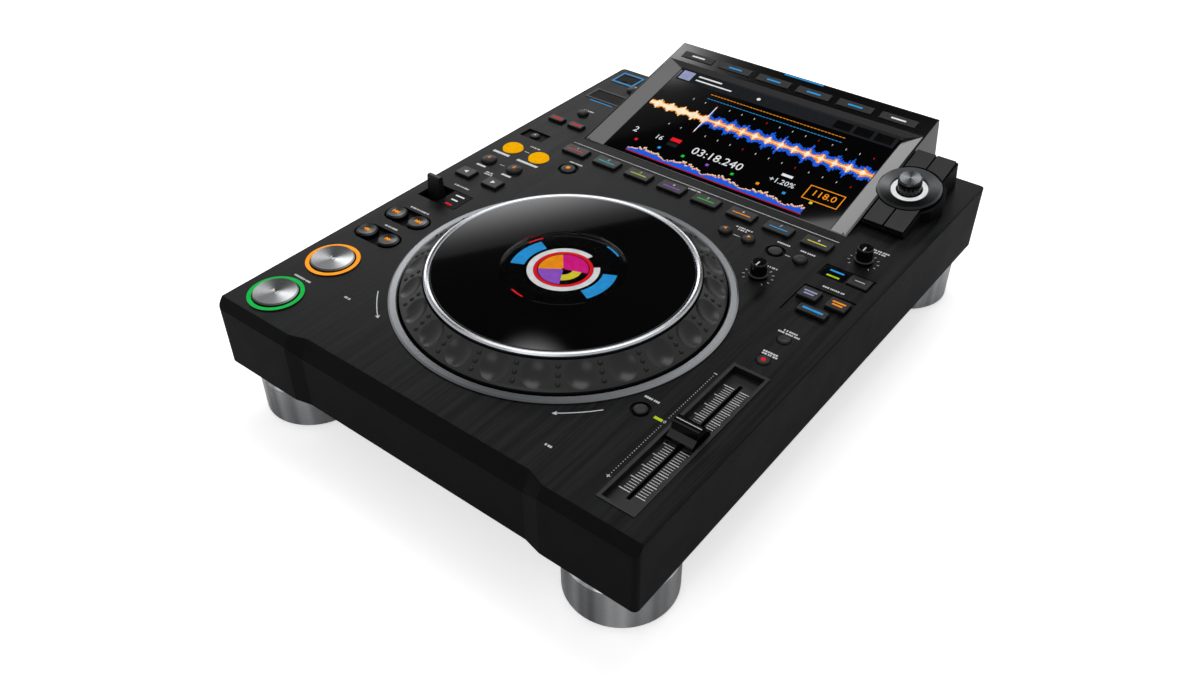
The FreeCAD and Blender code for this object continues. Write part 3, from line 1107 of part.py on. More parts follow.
doc.recompute()
faults = [item.Name for item in doc.Objects if "Invalid" in item.State or "Error" in item.State]
for label, item in nodes.items():
    solid = item.Shape
    if solid.isNull() or not solid.isValid() or not solid.Solids:
        faults.append(label)
print("nodes", len(nodes), "faults", faults)
if faults:
    raise SystemExit("some pieces failed: " + ", ".join(faults))
for label, item in nodes.items():
    item.Shape.exportStep(os.path.join("parts", label + ".step"))
whole = Part.makeCompound([item.Shape for item in nodes.values()]).BoundBox
print("overall", whole.XMin, whole.XMax, whole.YMin, whole.YMax, whole.ZMin, whole.ZMax)
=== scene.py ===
import bmesh
import bpy
import math
import random
from mathutils import Matrix, Vector


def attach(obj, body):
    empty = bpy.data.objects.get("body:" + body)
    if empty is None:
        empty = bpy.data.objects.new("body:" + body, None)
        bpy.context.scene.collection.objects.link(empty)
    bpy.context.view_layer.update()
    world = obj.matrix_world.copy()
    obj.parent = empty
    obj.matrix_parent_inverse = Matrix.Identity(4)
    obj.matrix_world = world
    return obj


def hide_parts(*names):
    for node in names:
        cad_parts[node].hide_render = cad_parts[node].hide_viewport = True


# Tabletop media player deck: finishes, lit legends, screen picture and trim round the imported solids
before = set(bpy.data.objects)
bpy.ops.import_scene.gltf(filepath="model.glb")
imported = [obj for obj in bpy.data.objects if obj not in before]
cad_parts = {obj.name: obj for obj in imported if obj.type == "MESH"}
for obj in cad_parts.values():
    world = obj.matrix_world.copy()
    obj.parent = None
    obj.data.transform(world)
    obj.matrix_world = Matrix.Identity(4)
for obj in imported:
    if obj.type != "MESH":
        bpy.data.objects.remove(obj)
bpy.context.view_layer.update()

MM = 0.001
# Places and sizes in millimetres; pairs are x and the distance from the panel's front edge
FRONT_Y = -226.5
PANEL_Z = 86.4
JOG_FROM_FRONT = 144.7
SCREEN_FROM_FRONT = 306.4
SCREEN_TILT = math.radians(13.13)
GLASS_DEPTH = -4.5
PRINT = 0.05
CUE, PLAY = (-139.0, 74.2), (-139.0, 27.2)
SEARCH, TRACK_SEARCH = (-137.8, 112.7), (-137.8, 140.7)
SEARCH_HALF_GAP = 10.4
FADER_X, FADER_Y, FADER_TRAVEL = 138.2, 81.7, 50.0
STICK_PORT = (-147.5, 412.0)
DISPLAY_KEY_X, DISPLAY_KEY_STEP = -89.5, 35.8
HOT_CUE_X, HOT_CUE_STEP = -103.3, 29.7
SMALL_KNOBS = {"jog_adjust_knob": (91.5, 231.2), "speed_adjust_knob": (138.0, 287.7)}
# The selector sits on the tilted screen plane, so it has one place there and one seen straight from above
DIAL = (130.2, 63.6)
DIAL_RING_ABOVE, DIAL_KNOB_ABOVE = (130.2, 367.9), (130.2, 366.4)
# Jog wheel: dimples and the circle they stand on, then the bright rim at its inner edge
DIMPLES, DIMPLE_CIRCLE, BAND_STRETCH = 24, 95.0, 1.22
DIMPLE_TURN = 360 / DIMPLES
RIM_IN, RIM_OUT, RIM_ABOVE_PANEL = 83.5, 88.0, 14.6
# Feet: each stands this far to the side and to the front or rear of their common middle
FOOT_X, FOOT_Y, FEET_MIDDLE_Y = 128.9, 180.0, -11.0

to_metres = Matrix.Scale(MM, 4)
# Drawing planes: the panel from its front edge, the jog wheel from its centre, the tilted screen from its
# front edge, and its lit picture moved a little to the right and the rear
PANEL = Matrix.Translation((0, FRONT_Y * MM, PANEL_Z * MM)) @ to_metres
JOG = Matrix.Translation((0, (FRONT_Y + JOG_FROM_FRONT) * MM, PANEL_Z * MM)) @ to_metres
SCREEN = (Matrix.Translation((0, (FRONT_Y + SCREEN_FROM_FRONT) * MM, PANEL_Z * MM))
          @ Matrix.Rotation(SCREEN_TILT, 4, "X") @ to_metres)
PICTURE = SCREEN @ Matrix.Translation((2.3, 5.0, 0.0))


# Materials

def paint(code):
    """An sRGB hex colour as linear light."""
    parts = [int(code[i:i + 2], 16) / 255 for i in (0, 2, 4)]
    return tuple(p / 12.92 if p <= 0.04045 else ((p + 0.055) / 1.055) ** 2.4 for p in parts) + (1.0,)


def add(tree, kind, settings=None, links=None):
    """Add one node, set what it is given, and link its sockets."""
    item = tree.nodes.new("ShaderNode" + kind)
    for key, value in (settings or {}).items():
        if isinstance(key, str) and key.startswith("."):
            setattr(item, key[1:], value)
        else:
            item.inputs[key].default_value = value
    for key, source in (links or {}).items():
        tree.links.new(source, item.inputs[key])
    return item


def new_material(name, **sockets):
    """A material with one main shader; the given sockets are set on the shader itself."""
    item = bpy.data.materials.new(name)
    item.use_nodes = True
    tree = item.node_tree
    tree.nodes.clear()
    shader = add(tree, "BsdfPrincipled", {key.replace("_", " "): value for key, value in sockets.items()})
    add(tree, "OutputMaterial", links={"Surface": shader.outputs[0]})
    return item, tree, shader


def link_finish(tree, shader, tone, gloss, bump):
    """Give the main shader its colour, gloss and relief."""
    for socket, source in (("Base Color", tone.outputs[2]), ("Roughness", gloss.outputs[0]),
                           ("Normal", bump.outputs[0])):
        tree.links.new(source, shader.inputs[socket])


def stretched(tree, scale, centre=(0, 0, 0)):
    """Object coordinates moved to a centre, in units of the pattern's own size."""
    spot = add(tree, "TexCoord")
    moved = add(tree, "VectorMath", {".operation": "SUBTRACT", 1: centre}, {0: spot.outputs["Object"]})
    return add(tree, "VectorMath", {".operation": "MULTIPLY", 1: scale}, {0: moved.outputs[0]}).outputs[0]


def grained(name, dark, light, grain_mm, low, high, depth_mm, edge_mm=0.0, **sockets):
    """A surface with mottled colour, uneven gloss and a raised grain of a real size."""
    item, tree, shader = new_material(name, **sockets)
    scale = 1 / (grain_mm * MM)
    spot = stretched(tree, (scale,) * 3)
    grain = add(tree, "TexNoise", {"Scale": 1.0, "Detail": 4.0, "Roughness": 0.6}, {"Vector": spot})
    cloud = add(tree, "TexNoise", {"Scale": 0.02, "Detail": 2.0}, {"Vector": spot})
    tone = add(tree, "Mix", {".data_type": "RGBA", 6: paint(dark), 7: paint(light)}, {0: grain.outputs[0]})
    gloss = add(tree, "MapRange", {"To Min": low, "To Max": high}, {"Value": cloud.outputs[0]})
    bump = add(tree, "Bump", {"Strength": 0.5, "Distance": depth_mm * MM}, {"Height": grain.outputs[0]})
    if edge_mm:
        edge = add(tree, "Bevel", {".samples": 4, "Radius": edge_mm * MM})
        tree.links.new(edge.outputs[0], bump.inputs["Normal"])
    link_finish(tree, shader, tone, gloss, bump)
    return item


def hairline(name, dark, light, across_mm, along_mm, low, high, depth_mm, **sockets):
    """Metal brushed from front to rear: long fine streaks in gloss and relief, and pale streaks in colour
    that are painted sheen.
    """
    item, tree, shader = new_material(name, **sockets)
    fine = stretched(tree, (1 / (across_mm * MM), 1 / (along_mm * MM), 1 / (along_mm * MM)))
    wide = stretched(tree, (0.18 / (across_mm * MM), 0.5 / (along_mm * MM), 1 / (along_mm * MM)))
    streak = add(tree, "TexNoise", {"Scale": 1.0, "Detail": 5.0, "Roughness": 0.7}, {"Vector": fine})
    band = add(tree, "TexNoise", {"Scale": 1.0, "Detail": 3.0}, {"Vector": wide})
    both = add(tree, "Math", {".operation": "MULTIPLY"}, {0: streak.outputs[0], 1: band.outputs[0]})
    spread = add(tree, "MapRange", {"From Min": 0.16, "From Max": 0.36}, {"Value": both.outputs[0]})
    # Painted sheen: the streaks are paler in colour, as if catching the light
    tone = add(tree, "Mix", {".data_type": "RGBA", 6: paint(dark), 7: paint(light)}, {0: spread.outputs[0]})
    gloss = add(tree, "MapRange", {"To Min": low, "To Max": high}, {"Value": spread.outputs[0]})
    bump = add(tree, "Bump", {"Strength": 0.35, "Distance": depth_mm * MM}, {"Height": streak.outputs[0]})
    link_finish(tree, shader, tone, gloss, bump)
    return item


def turned(name, dark, light, centre, ring_mm, low, high, pair_half=0.0, painted_fan_sharpness=1.0, relief_mm=0.02,
           **sockets):
    """Metal turned on a lathe: fine rings, and a painted fan of highlight and shade round the centre, fixed
    in the colour.

    With pair_half the same finish is centred on two caps that lie side by side; painted_fan_sharpness above 1
    narrows the painted highlights of the fan."""
    item, tree, shader = new_material(name, **sockets)
    x, y = centre[0] * MM, (FRONT_Y + centre[1]) * MM
    spot = stretched(tree, (1, 1, 0), (x, y, 0))
    if pair_half:
        split = add(tree, "SeparateXYZ", links={0: spot})
        fold = add(tree, "Math", {".operation": "ABSOLUTE"}, {0: split.outputs[0]})
        near = add(tree, "Math", {".operation": "SUBTRACT", 1: pair_half * MM}, {0: fold.outputs[0]})
        spot = add(tree, "CombineXYZ", links={0: near.outputs[0], 1: split.outputs[1]}).outputs[0]
    away = add(tree, "VectorMath", {".operation": "LENGTH"}, {0: spot})
    flat = add(tree, "SeparateXYZ", links={0: spot})
    ring_at = add(tree, "CombineXYZ", links={0: away.outputs["Value"]})
    rings = add(tree, "TexNoise", {"Scale": 1 / (ring_mm * MM), "Detail": 3.0, "Roughness": 0.7},
                {"Vector": ring_at.outputs[0]})
    # Painted fan: highlight and shade painted into the colour by the angle round the centre, in place of the
    # spun metal's own highlight
    angle = add(tree, "Math", {".operation": "ARCTAN2"}, {0: flat.outputs[1], 1: flat.outputs[0]})
    turn = add(tree, "Math", {".operation": "MULTIPLY_ADD", 1: 2.0, 2: 0.9}, {0: angle.outputs[0]})
    wave = add(tree, "Math", {".operation": "SINE"}, {0: turn.outputs[0]})
    painted_fan = add(tree, "MapRange", {"From Min": -1.0, "From Max": 1.0, "To Min": 0.0, "To Max": 0.85},
                {"Value": wave.outputs[0]})
    painted_fan_beam = add(tree, "Math", {".operation": "POWER", 1: painted_fan_sharpness}, {0: painted_fan.outputs[0]})
    rings_and_painted_fan = add(tree, "Math", {".operation": "MULTIPLY_ADD", 1: 0.2},
                {0: rings.outputs[0], 2: painted_fan_beam.outputs[0]})
    tone = add(tree, "Mix", {".data_type": "RGBA", 6: paint(dark), 7: paint(light)}, {0: rings_and_painted_fan.outputs[0]})
    gloss = add(tree, "MapRange", {"To Min": low, "To Max": high}, {"Value": rings.outputs[0]})
    bump = add(tree, "Bump", {"Strength": 0.4, "Distance": relief_mm * MM}, {"Height": rings.outputs[0]})
    link_finish(tree, shader, tone, gloss, bump)
    return item


def lit(name, code, strength):
    """Light showing through tinted plastic, a little uneven like a real lamp behind it."""
    item, tree, shader = new_material(name, Roughness=0.3, Specular_IOR_Level=0.0, Emission_Strength=strength)
    spot = stretched(tree, (1 / (4 * MM),) * 3)
    glow = add(tree, "TexNoise", {"Scale": 1.0, "Detail": 1.0}, {"Vector": spot})
    full = paint(code)
    for socket, low, high in (("Emission Color", 0.72, 1.0), ("Base Color", 0.1, 0.25)):
        dim, bright = (tuple(v * share for v in full[:3]) + (1.0,) for share in (low, high))
        tone = add(tree, "Mix", {".data_type": "RGBA", 6: dim, 7: bright}, {0: glow.outputs[0]})
        tree.links.new(tone.outputs[2], shader.inputs[socket])
    return item


def jog_wheel_finish_and_painted_shade():
    """Speckled moulded plastic on the band, with painted shade darkening its dimples, and bright metal on the
    raised rim.
    """
    item, tree, shader = new_material("jog_band_abs_painted_dimple_shade_polished_rim", Specular_IOR_Level=0.3)
    centre = (0, (FRONT_Y + JOG_FROM_FRONT) * MM, 0)
    flat = stretched(tree, (1, 1, 0), centre)
    away = add(tree, "VectorMath", {".operation": "LENGTH"}, {0: flat})
    outer = add(tree, "Math", {".operation": "LESS_THAN", 1: RIM_OUT * MM}, {0: away.outputs["Value"]})
    inner = add(tree, "Math", {".operation": "GREATER_THAN", 1: RIM_IN * MM}, {0: away.outputs["Value"]})
    high = add(tree, "SeparateXYZ", links={0: add(tree, "TexCoord").outputs["Object"]})
    top = add(tree, "Math", {".operation": "GREATER_THAN", 1: (PANEL_Z + RIM_ABOVE_PANEL) * MM},
              {0: high.outputs[2]})
    ring = add(tree, "Math", {".operation": "MULTIPLY"}, {0: outer.outputs[0], 1: inner.outputs[0]})
    rim = add(tree, "Math", {".operation": "MULTIPLY"}, {0: ring.outputs[0], 1: top.outputs[0]})
    speck = add(tree, "TexNoise", {"Scale": 1 / (0.45 * MM), "Detail": 4.0},
                {"Vector": stretched(tree, (1, 1, 1))})
    outside = add(tree, "Mix", {".data_type": "RGBA", 6: paint("08080A"), 7: paint("121315")},
                  {0: speck.outputs[0]})
    # Each point's distance from the nearest dimple, measured along the sloping band
    across = add(tree, "SeparateXYZ", links={0: flat})
    angle = add(tree, "Math", {".operation": "ARCTAN2"}, {0: across.outputs[1], 1: across.outputs[0]})
    turns = add(tree, "Math", {".operation": "MULTIPLY", 1: DIMPLES / math.tau}, {0: angle.outputs[0]})
    nearest = add(tree, "Math", {".operation": "ROUND"}, {0: turns.outputs[0]})
    aside = add(tree, "Math", {".operation": "SUBTRACT"}, {0: turns.outputs[0], 1: nearest.outputs[0]})
    step = math.radians(DIMPLE_TURN) * DIMPLE_CIRCLE * MM
    along = add(tree, "Math", {".operation": "MULTIPLY", 1: step}, {0: aside.outputs[0]})
    inward = add(tree, "Math", {".operation": "MULTIPLY_ADD", 1: BAND_STRETCH,
                                2: -BAND_STRETCH * DIMPLE_CIRCLE * MM}, {0: away.outputs["Value"]})
    spot = add(tree, "CombineXYZ", links={0: along.outputs[0], 1: inward.outputs[0]})
    reach = add(tree, "VectorMath", {".operation": "LENGTH"}, {0: spot.outputs[0]})
    # Painted shade: the dimples are darkened in colour and made a little glossier
    dimple_painted_shade_mask = add(tree, "MapRange", {"From Min": 9.2 * MM, "From Max": 7.4 * MM},
                 {"Value": reach.outputs["Value"]})
    plastic_with_painted_dimple_shade = add(tree, "Mix", {".data_type": "RGBA", 7: paint("030304")},
                  {0: dimple_painted_shade_mask.outputs[0], 6: outside.outputs[2]})
    satin = add(tree, "MapRange", {"To Min": 0.36, "To Max": 0.3}, {"Value": dimple_painted_shade_mask.outputs[0]})
    tone = add(tree, "Mix", {".data_type": "RGBA", 7: paint("A2A4A8")},
               {0: rim.outputs[0], 6: plastic_with_painted_dimple_shade.outputs[2]})
    gloss = add(tree, "MapRange", {"To Max": 0.2}, {"Value": rim.outputs[0], "To Min": satin.outputs[0]})
    bump = add(tree, "Bump", {"Strength": 0.3, "Distance": 0.04 * MM}, {"Height": speck.outputs[0]})
    link_finish(tree, shader, tone, gloss, bump)
    tree.links.new(rim.outputs[0], shader.inputs["Metallic"])
    return item


def foot_finish_with_painted_reflections():
    """Turned satin aluminium: fine lines round each foot, and painted reflections as pale and dark bands up
    and down its wall.
    """
    item, tree, shader = new_material("satin_turned_aluminium_foot_painted_reflections", Metallic=1.0)
    spot = add(tree, "SeparateXYZ", links={0: add(tree, "TexCoord").outputs["Object"]})
    side = add(tree, "Math", {".operation": "ABSOLUTE"}, {0: spot.outputs[0]})
    across = add(tree, "Math", {".operation": "SUBTRACT", 1: FOOT_X * MM}, {0: side.outputs[0]})
    middle = add(tree, "Math", {".operation": "SUBTRACT", 1: FEET_MIDDLE_Y * MM}, {0: spot.outputs[1]})
    ahead = add(tree, "Math", {".operation": "ABSOLUTE"}, {0: middle.outputs[0]})
    along = add(tree, "Math", {".operation": "SUBTRACT", 1: FOOT_Y * MM}, {0: ahead.outputs[0]})
    # Painted reflections: pale and dark colour bands by the angle round each foot
    angle = add(tree, "Math", {".operation": "ARCTAN2"}, {0: along.outputs[0], 1: across.outputs[0]})
    painted_reflection_at = add(tree, "CombineXYZ", links={0: angle.outputs[0]})
    painted_reflection_bands = add(tree, "TexNoise", {"Scale": 1.6, "Detail": 2.0}, {"Vector": painted_reflection_at.outputs[0]})
    line_at = add(tree, "CombineXYZ", links={2: spot.outputs[2]})
    lines = add(tree, "TexNoise", {"Scale": 1 / (0.5 * MM), "Detail": 2.0}, {"Vector": line_at.outputs[0]})
    spread = add(tree, "MapRange", {"From Min": 0.35, "From Max": 0.65}, {"Value": painted_reflection_bands.outputs[0]})
    tone = add(tree, "Mix", {".data_type": "RGBA", 6: paint("5C5D60"), 7: paint("D0D1D3")},
               {0: spread.outputs[0]})
    gloss = add(tree, "MapRange", {"To Min": 0.2, "To Max": 0.36}, {"Value": lines.outputs[0]})
    bump = add(tree, "Bump", {"Strength": 0.4, "Distance": 0.03 * MM}, {"Height": lines.outputs[0]})
    link_finish(tree, shader, tone, gloss, bump)
    return item


# Black anodised aluminium sheet, brushed from front to rear: long fine hairs in its gloss and relief, their
# sheen painted into the colour as pale streaks
panel_metal = hairline("black_anodised_hairline_aluminium_painted_sheen", "030303", "191A1B", 0.6, 60.0, 0.36, 0.5, 0.02,
                       Metallic=0.2, Specular_IOR_Level=0.06)
# Moulded ABS with a fine spark-eroded texture: soft satin sheen and soft bright edges
case_abs = grained("satin_black_abs", "060607", "0D0E0F", 0.5, 0.45, 0.58, 0.04, edge_mm=0.5,
                   Specular_IOR_Level=0.045)
# Display housing: the same plastic polished, so that its top edge fades from silver to black
housing_abs = grained("polished_black_abs", "040405", "0A0A0B", 1.2, 0.11, 0.16, 0.002, edge_mm=0.5,
                      Specular_IOR_Level=0.4)
# Painted steel of tray and bearing: slight orange peel
tray_steel = grained("black_painted_steel", "0A0A0B", "151517", 1.4, 0.42, 0.55, 0.05, Specular_IOR_Level=0.3)
# Piano black acrylic: deep and wet looking with the faintest dust mottling
gloss_black = grained("piano_black_acrylic", "030304", "08080A", 2.0, 0.08, 0.14, 0.005,
                      Specular_IOR_Level=0.3)
# Key plastic, finely etched: greyer and drier than the case
key_abs = grained("etched_black_key_plastic", "0A0A0B", "151617", 0.35, 0.34, 0.46, 0.03, edge_mm=0.35,
                  Specular_IOR_Level=0.2)
# Synthetic rubber of the pads: dull with a powdery bloom
pad_rubber = grained("foot_rubber", "0A0A0A", "1B1B1C", 0.8, 0.8, 0.92, 0.1)
# Cover glass of the screen: black, mirror smooth
cover_glass = grained("black_cover_glass", "020203", "050507", 3.0, 0.03, 0.06, 0.002, Specular_IOR_Level=0.3)
# Inside and at the rear: green solder mask, bright zinc and yellowish nickel, each a little mottled
board_green = grained("solder_mask_green", "0C3A1C", "14552B", 1.2, 0.3, 0.4, 0.03)
zinc_can = grained("zinc_plated_steel", "8D9094", "B9BCC0", 2.2, 0.28, 0.42, 0.03, Metallic=1.0)
nickel = grained("nickel_plated_shell", "A9A8A2", "CFCEC8", 0.8, 0.2, 0.32, 0.02, Metallic=1.0)
jog_finish_and_painted_shade = jog_wheel_finish_and_painted_shade()
# Cue and play caps: bright spun aluminium, with a sharp fan of highlight painted into their colour, fixed on
# each cap
CAP_SPIN = {"relief_mm": 0.006, "Metallic": 1.0}
cue_metal = turned("turned_cue_cap_painted_fan", "101011", "B4B6B8", CUE, 0.3, 0.22, 0.34, painted_fan_sharpness=2.2, **CAP_SPIN)
play_metal = turned("turned_play_cap_painted_fan", "101011", "B4B6B8", PLAY, 0.3, 0.22, 0.34, painted_fan_sharpness=2.2, **CAP_SPIN)
# Search caps: the same spinning in black, with a narrow painted glint on each cap
search_metal = turned("turned_search_caps_painted_glint", "040405", "4C4E50", SEARCH, 0.3, 0.2, 0.32,
                      pair_half=SEARCH_HALF_GAP, painted_fan_sharpness=3.0, **CAP_SPIN)
track_metal = turned("turned_track_caps_painted_glint", "040405", "4C4E50", TRACK_SEARCH, 0.3, 0.2, 0.32,
                     pair_half=SEARCH_HALF_GAP, painted_fan_sharpness=3.0, **CAP_SPIN)
# Jog plate: black gloss with barely raised grooves, a dark mirror, with a very faint painted fan of sheen in
# its colour
plate_gloss = turned("grooved_gloss_plate_painted_fan", "020203", "060607", (0.0, JOG_FROM_FRONT), 1.1, 0.02, 0.045,
                     relief_mm=0.002, Specular_IOR_Level=0.45)
# Ring round the jog wheel: turned grey aluminium, softer than the caps, with a painted fan of highlight in
# its colour
surround_metal = turned("turned_surround_ring_painted_fan", "3C3D3F", "8A8C8F", (0.0, JOG_FROM_FRONT), 0.5, 0.3, 0.42,
                        Metallic=1.0)
# Selector: black plated ring with one hard painted glint, and a spun face on the knob made paler by a painted
# fan of highlight
dial_ring_metal = turned("turned_black_selector_ring_painted_glint", "020203", "6A6C6E", DIAL_RING_ABOVE, 0.4, 0.16, 0.28,
                         painted_fan_sharpness=4.0, relief_mm=0.006, Metallic=0.9)
dial_knob_metal = turned("turned_black_selector_knob_painted_fan", "08080A", "8E9093", DIAL_KNOB_ABOVE, 0.5, 0.16, 0.3,
                         Metallic=0.9)
# Feet: aluminium cups turned and satin anodised, with painted reflections in pale and dark bands
foot_metal = foot_finish_with_painted_reflections()
# Window in the jog plate: clear plastic with a trace of dust in its gloss
window_clear, clear_tree, clear_shader = new_material("clear_jog_window", IOR=1.2, Transmission_Weight=1.0)
clear_dust = add(clear_tree, "TexNoise", {"Scale": 400.0, "Detail": 3.0})
clear_gloss = add(clear_tree, "MapRange", {"To Min": 0.01, "To Max": 0.05}, {"Value": clear_dust.outputs[0]})
clear_tree.links.new(clear_gloss.outputs[0], clear_shader.inputs["Roughness"])
# Screen print: dry matt white ink
print_white = grained("screen_printed_white", "C9CBCD", "E9EBEC", 0.6, 0.45, 0.6, 0.01)

# Light through tinted plastic and on the screens: colour and strength
LAMPS = {"white": ("F2F4F6", 0.85), "amber": ("F9B208", 0.95), "orange": ("FF9A1F", 0.95),
         "ring_amber": ("FF9E2B", 1.15), "ring_green": ("1FB04A", 1.15), "green": ("27C93F", 0.9),
         "lime": ("B6D12B", 0.9), "blue": ("2FA0E8", 0.9), "wave": ("1F5FE0", 0.95), "cyan": ("25B5C4", 0.9),
         "red": ("E8202A", 0.95), "violet": ("9A5BD0", 0.9), "yellow": ("E3D83A", 0.9),
         "cream": ("FFF0D0", 0.95), "slate": ("2A2D31", 0.5), "lilac": ("A9B0D8", 0.7),
         "magenta": ("E0218A", 0.9)}
lamp = {colour: lit("lamp_" + colour, code, power) for colour, (code, power) in LAMPS.items()}

# Finish of every solid of the frame; those not named here are keys of etched plastic
finishes = {
    "top_panel": panel_metal, "top_case": case_abs, "bottom_tray": tray_steel, "display_housing": housing_abs,
    "display_glass": cover_glass, "display_module": cover_glass, "jog_surround": surround_metal,
    "jog_bearing": tray_steel, "jog_display": cover_glass, "foot_cups": foot_metal, "foot_pads": pad_rubber,
    "rear_sockets": nickel, "ac_inlet": key_abs, "control_board": board_green, "power_supply": zinc_can,
    "fader_tray": key_abs, "selector_plinth": case_abs, "selector_ring": dial_ring_metal, "usb_port": key_abs,
    "card_slot": key_abs, "jog_wheel": jog_finish_and_painted_shade, "selector_shaft": zinc_can, "selector_knob": gloss_black,
    "usb_flap": case_abs, "card_door": case_abs, "cue_button": cue_metal, "play_button": play_metal,
    "search_keys": search_metal, "track_search_keys": track_metal, "loop_in_and_out_keys": lamp["amber"],
    "jog_adjust_knob": gloss_black, "speed_adjust_knob": gloss_black, "tempo_fader": gloss_black,
    "transport_rings": gloss_black,
}
for name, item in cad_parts.items():
    item.data.materials.clear()
    item.data.materials.append(finishes.get(name, key_abs))


# Shapes drawn on a plane, in millimetres

def bar(bm, x, y, wide, deep, turn=0.0):
    """A rectangle about its middle."""
    place = (Matrix.Translation((x, y, 0)) @ Matrix.Rotation(math.radians(turn), 4, "Z")
             @ Matrix.Diagonal((wide, deep, 1, 1)))
    bmesh.ops.create_grid(bm, x_segments=1, y_segments=1, size=0.5, matrix=place)


def disc(bm, x, y, radius, sides=32, turn=0.0):
    """A filled circle or regular polygon."""
    place = Matrix.Translation((x, y, 0)) @ Matrix.Rotation(math.radians(turn), 4, "Z")
    bmesh.ops.create_circle(bm, cap_ends=True, segments=sides, radius=radius, matrix=place)


def arrow(bm, x, y, reach, turn):
    """A triangle that points along +Y before it is turned."""
    disc(bm, x, y, reach, 3, turn)


def arc(bm, x, y, inner, outer, start, end):
    """A band between two radii, from one angle in degrees to another."""
    first = math.radians(start)
    way = Vector((math.cos(first), math.sin(first), 0))
    ends = [bm.verts.new(Vector((x, y, 0)) + way * r) for r in (inner, outer)]
    edge = bm.edges.new(ends)
    whole = abs(end - start) >= 360
    bmesh.ops.spin(bm, geom=ends + [edge], cent=(x, y, 0), axis=(0, 0, 1), angle=math.radians(end - start),
                   steps=max(4, int(abs(end - start) / 5)), use_merge=whole)


def figures(bm, words, x, y, tall):
    """Numerals and plain signs, centred on a spot."""
    curve = bpy.data.curves.new("figures", "FONT")
    curve.body, curve.size = words, tall / 0.7
    curve.align_x, curve.align_y, curve.resolution_u = "CENTER", "CENTER", 2
    maker = bpy.data.objects.new("figures", curve)
    flat = bpy.data.meshes.new_from_object(maker)
    flat.transform(Matrix.Translation((x, y, 0)))
    bm.from_mesh(flat)
    bpy.data.objects.remove(maker)
    bpy.data.meshes.remove(flat)
    bpy.data.curves.remove(curve)


def mesh_object(name, bm, material):
    """Turn a finished bmesh into an object in the scene."""
    mesh = bpy.data.meshes.new(name)
    bm.to_mesh(mesh)
    bm.free()
    mesh.materials.append(material)
    item = bpy.data.objects.new(name, mesh)
    bpy.context.scene.collection.objects.link(item)
    return item


def piece(name, body, bm, material):
    """Turn a finished bmesh into a piece that rides on a body."""
    item = mesh_object(name, bm, material)
    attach(item, body)
    return item


def marks(name, body, plane, material, height, shapes, thick=2 * PRINT):
    """Thin raised marks on a plane, each a closed sheet whose top stands at the given height."""
    bm = bmesh.new()
    for maker, *numbers in shapes:
        maker(bm, *numbers)
    kept = bmesh.ops.extrude_face_region(bm, geom=bm.faces[:], use_keep_orig=True)
    low = [item for item in kept["geom"] if isinstance(item, bmesh.types.BMVert)]
    bmesh.ops.translate(bm, verts=low, vec=(0, 0, -thick))
    bmesh.ops.translate(bm, verts=bm.verts[:], vec=(0, 0, height))
    bmesh.ops.recalc_face_normals(bm, faces=bm.faces[:])
    bmesh.ops.transform(bm, matrix=plane, verts=bm.verts[:])
    return piece(name, body, bm, material)


# White print on the panel: boxes under the loop and beat keys, lines between paired keys, the fader's scale
panel_print = [(bar, -148.0, 249.7, 16.0, 2.6), (bar, -122.0, 249.7, 20.0, 2.6),
               (bar, -147.6, 226.5, 8.7, 2.0), (bar, -122.4, 226.5, 8.7, 2.0),
               (bar, -133.3, 262.7, 4.5, 0.5), (bar, -135.0, 236.2, 4.5, 0.5),
               (bar, 55.6, 262.7, 5.0, 0.5), (bar, 95.2, 262.7, 4.0, 0.5), (bar, 0.0, 297.7, 230.0, 0.5),
               (figures, "0", 122.7, 81.7, 2.2), (bar, 122.7, 132.7, 2.2, 0.5), (bar, 122.7, 31.2, 2.2, 0.5),
               (bar, 122.7, 31.2, 0.5, 2.2)]
panel_print += [(disc, 122.7, y, 0.28, 8) for y in range(34, 132, 2) if abs(y - FADER_Y) > 2.5]
# A curved arrow each side of the jog wheel, its head at one end of the curve
ARROW_R, ARROW_SWEEP = 117.8, 13.0
for start, tip, heading in ((-140.0, -127.0, -127.0), (-53.0, -53.0, 127.0)):
    panel_print.append((arc, 0.0, JOG_FROM_FRONT, ARROW_R - 0.3, ARROW_R + 0.3, start, start + ARROW_SWEEP))
    along = math.radians(tip)
    panel_print.append((arrow, ARROW_R * math.cos(along), JOG_FROM_FRONT + ARROW_R * math.sin(along), 1.8,
                        heading))
# Eleven strokes round each small knob
STROKE_R = 9.7
for x, y in SMALL_KNOBS.values():
    for step in range(11):
        degrees = -45 + 27 * step
        angle = math.radians(degrees)
        panel_print.append((bar, x + STROKE_R * math.cos(angle), y + STROKE_R * math.sin(angle), 1.6, 0.4,
                            degrees))
legend_draw = random.Random(11)


def legend(x, y, wide, tall=1.5):
    """A line of short dashes where a control has its caption."""
    spots = []
    at = x - wide / 2
    while at < x + wide / 2:
        step = legend_draw.uniform(0.8, 1.5)
        spots.append((bar, at + step / 2, y, step, tall))
        at += step + legend_draw.choice((0.35, 0.35, 0.9))
    return spots


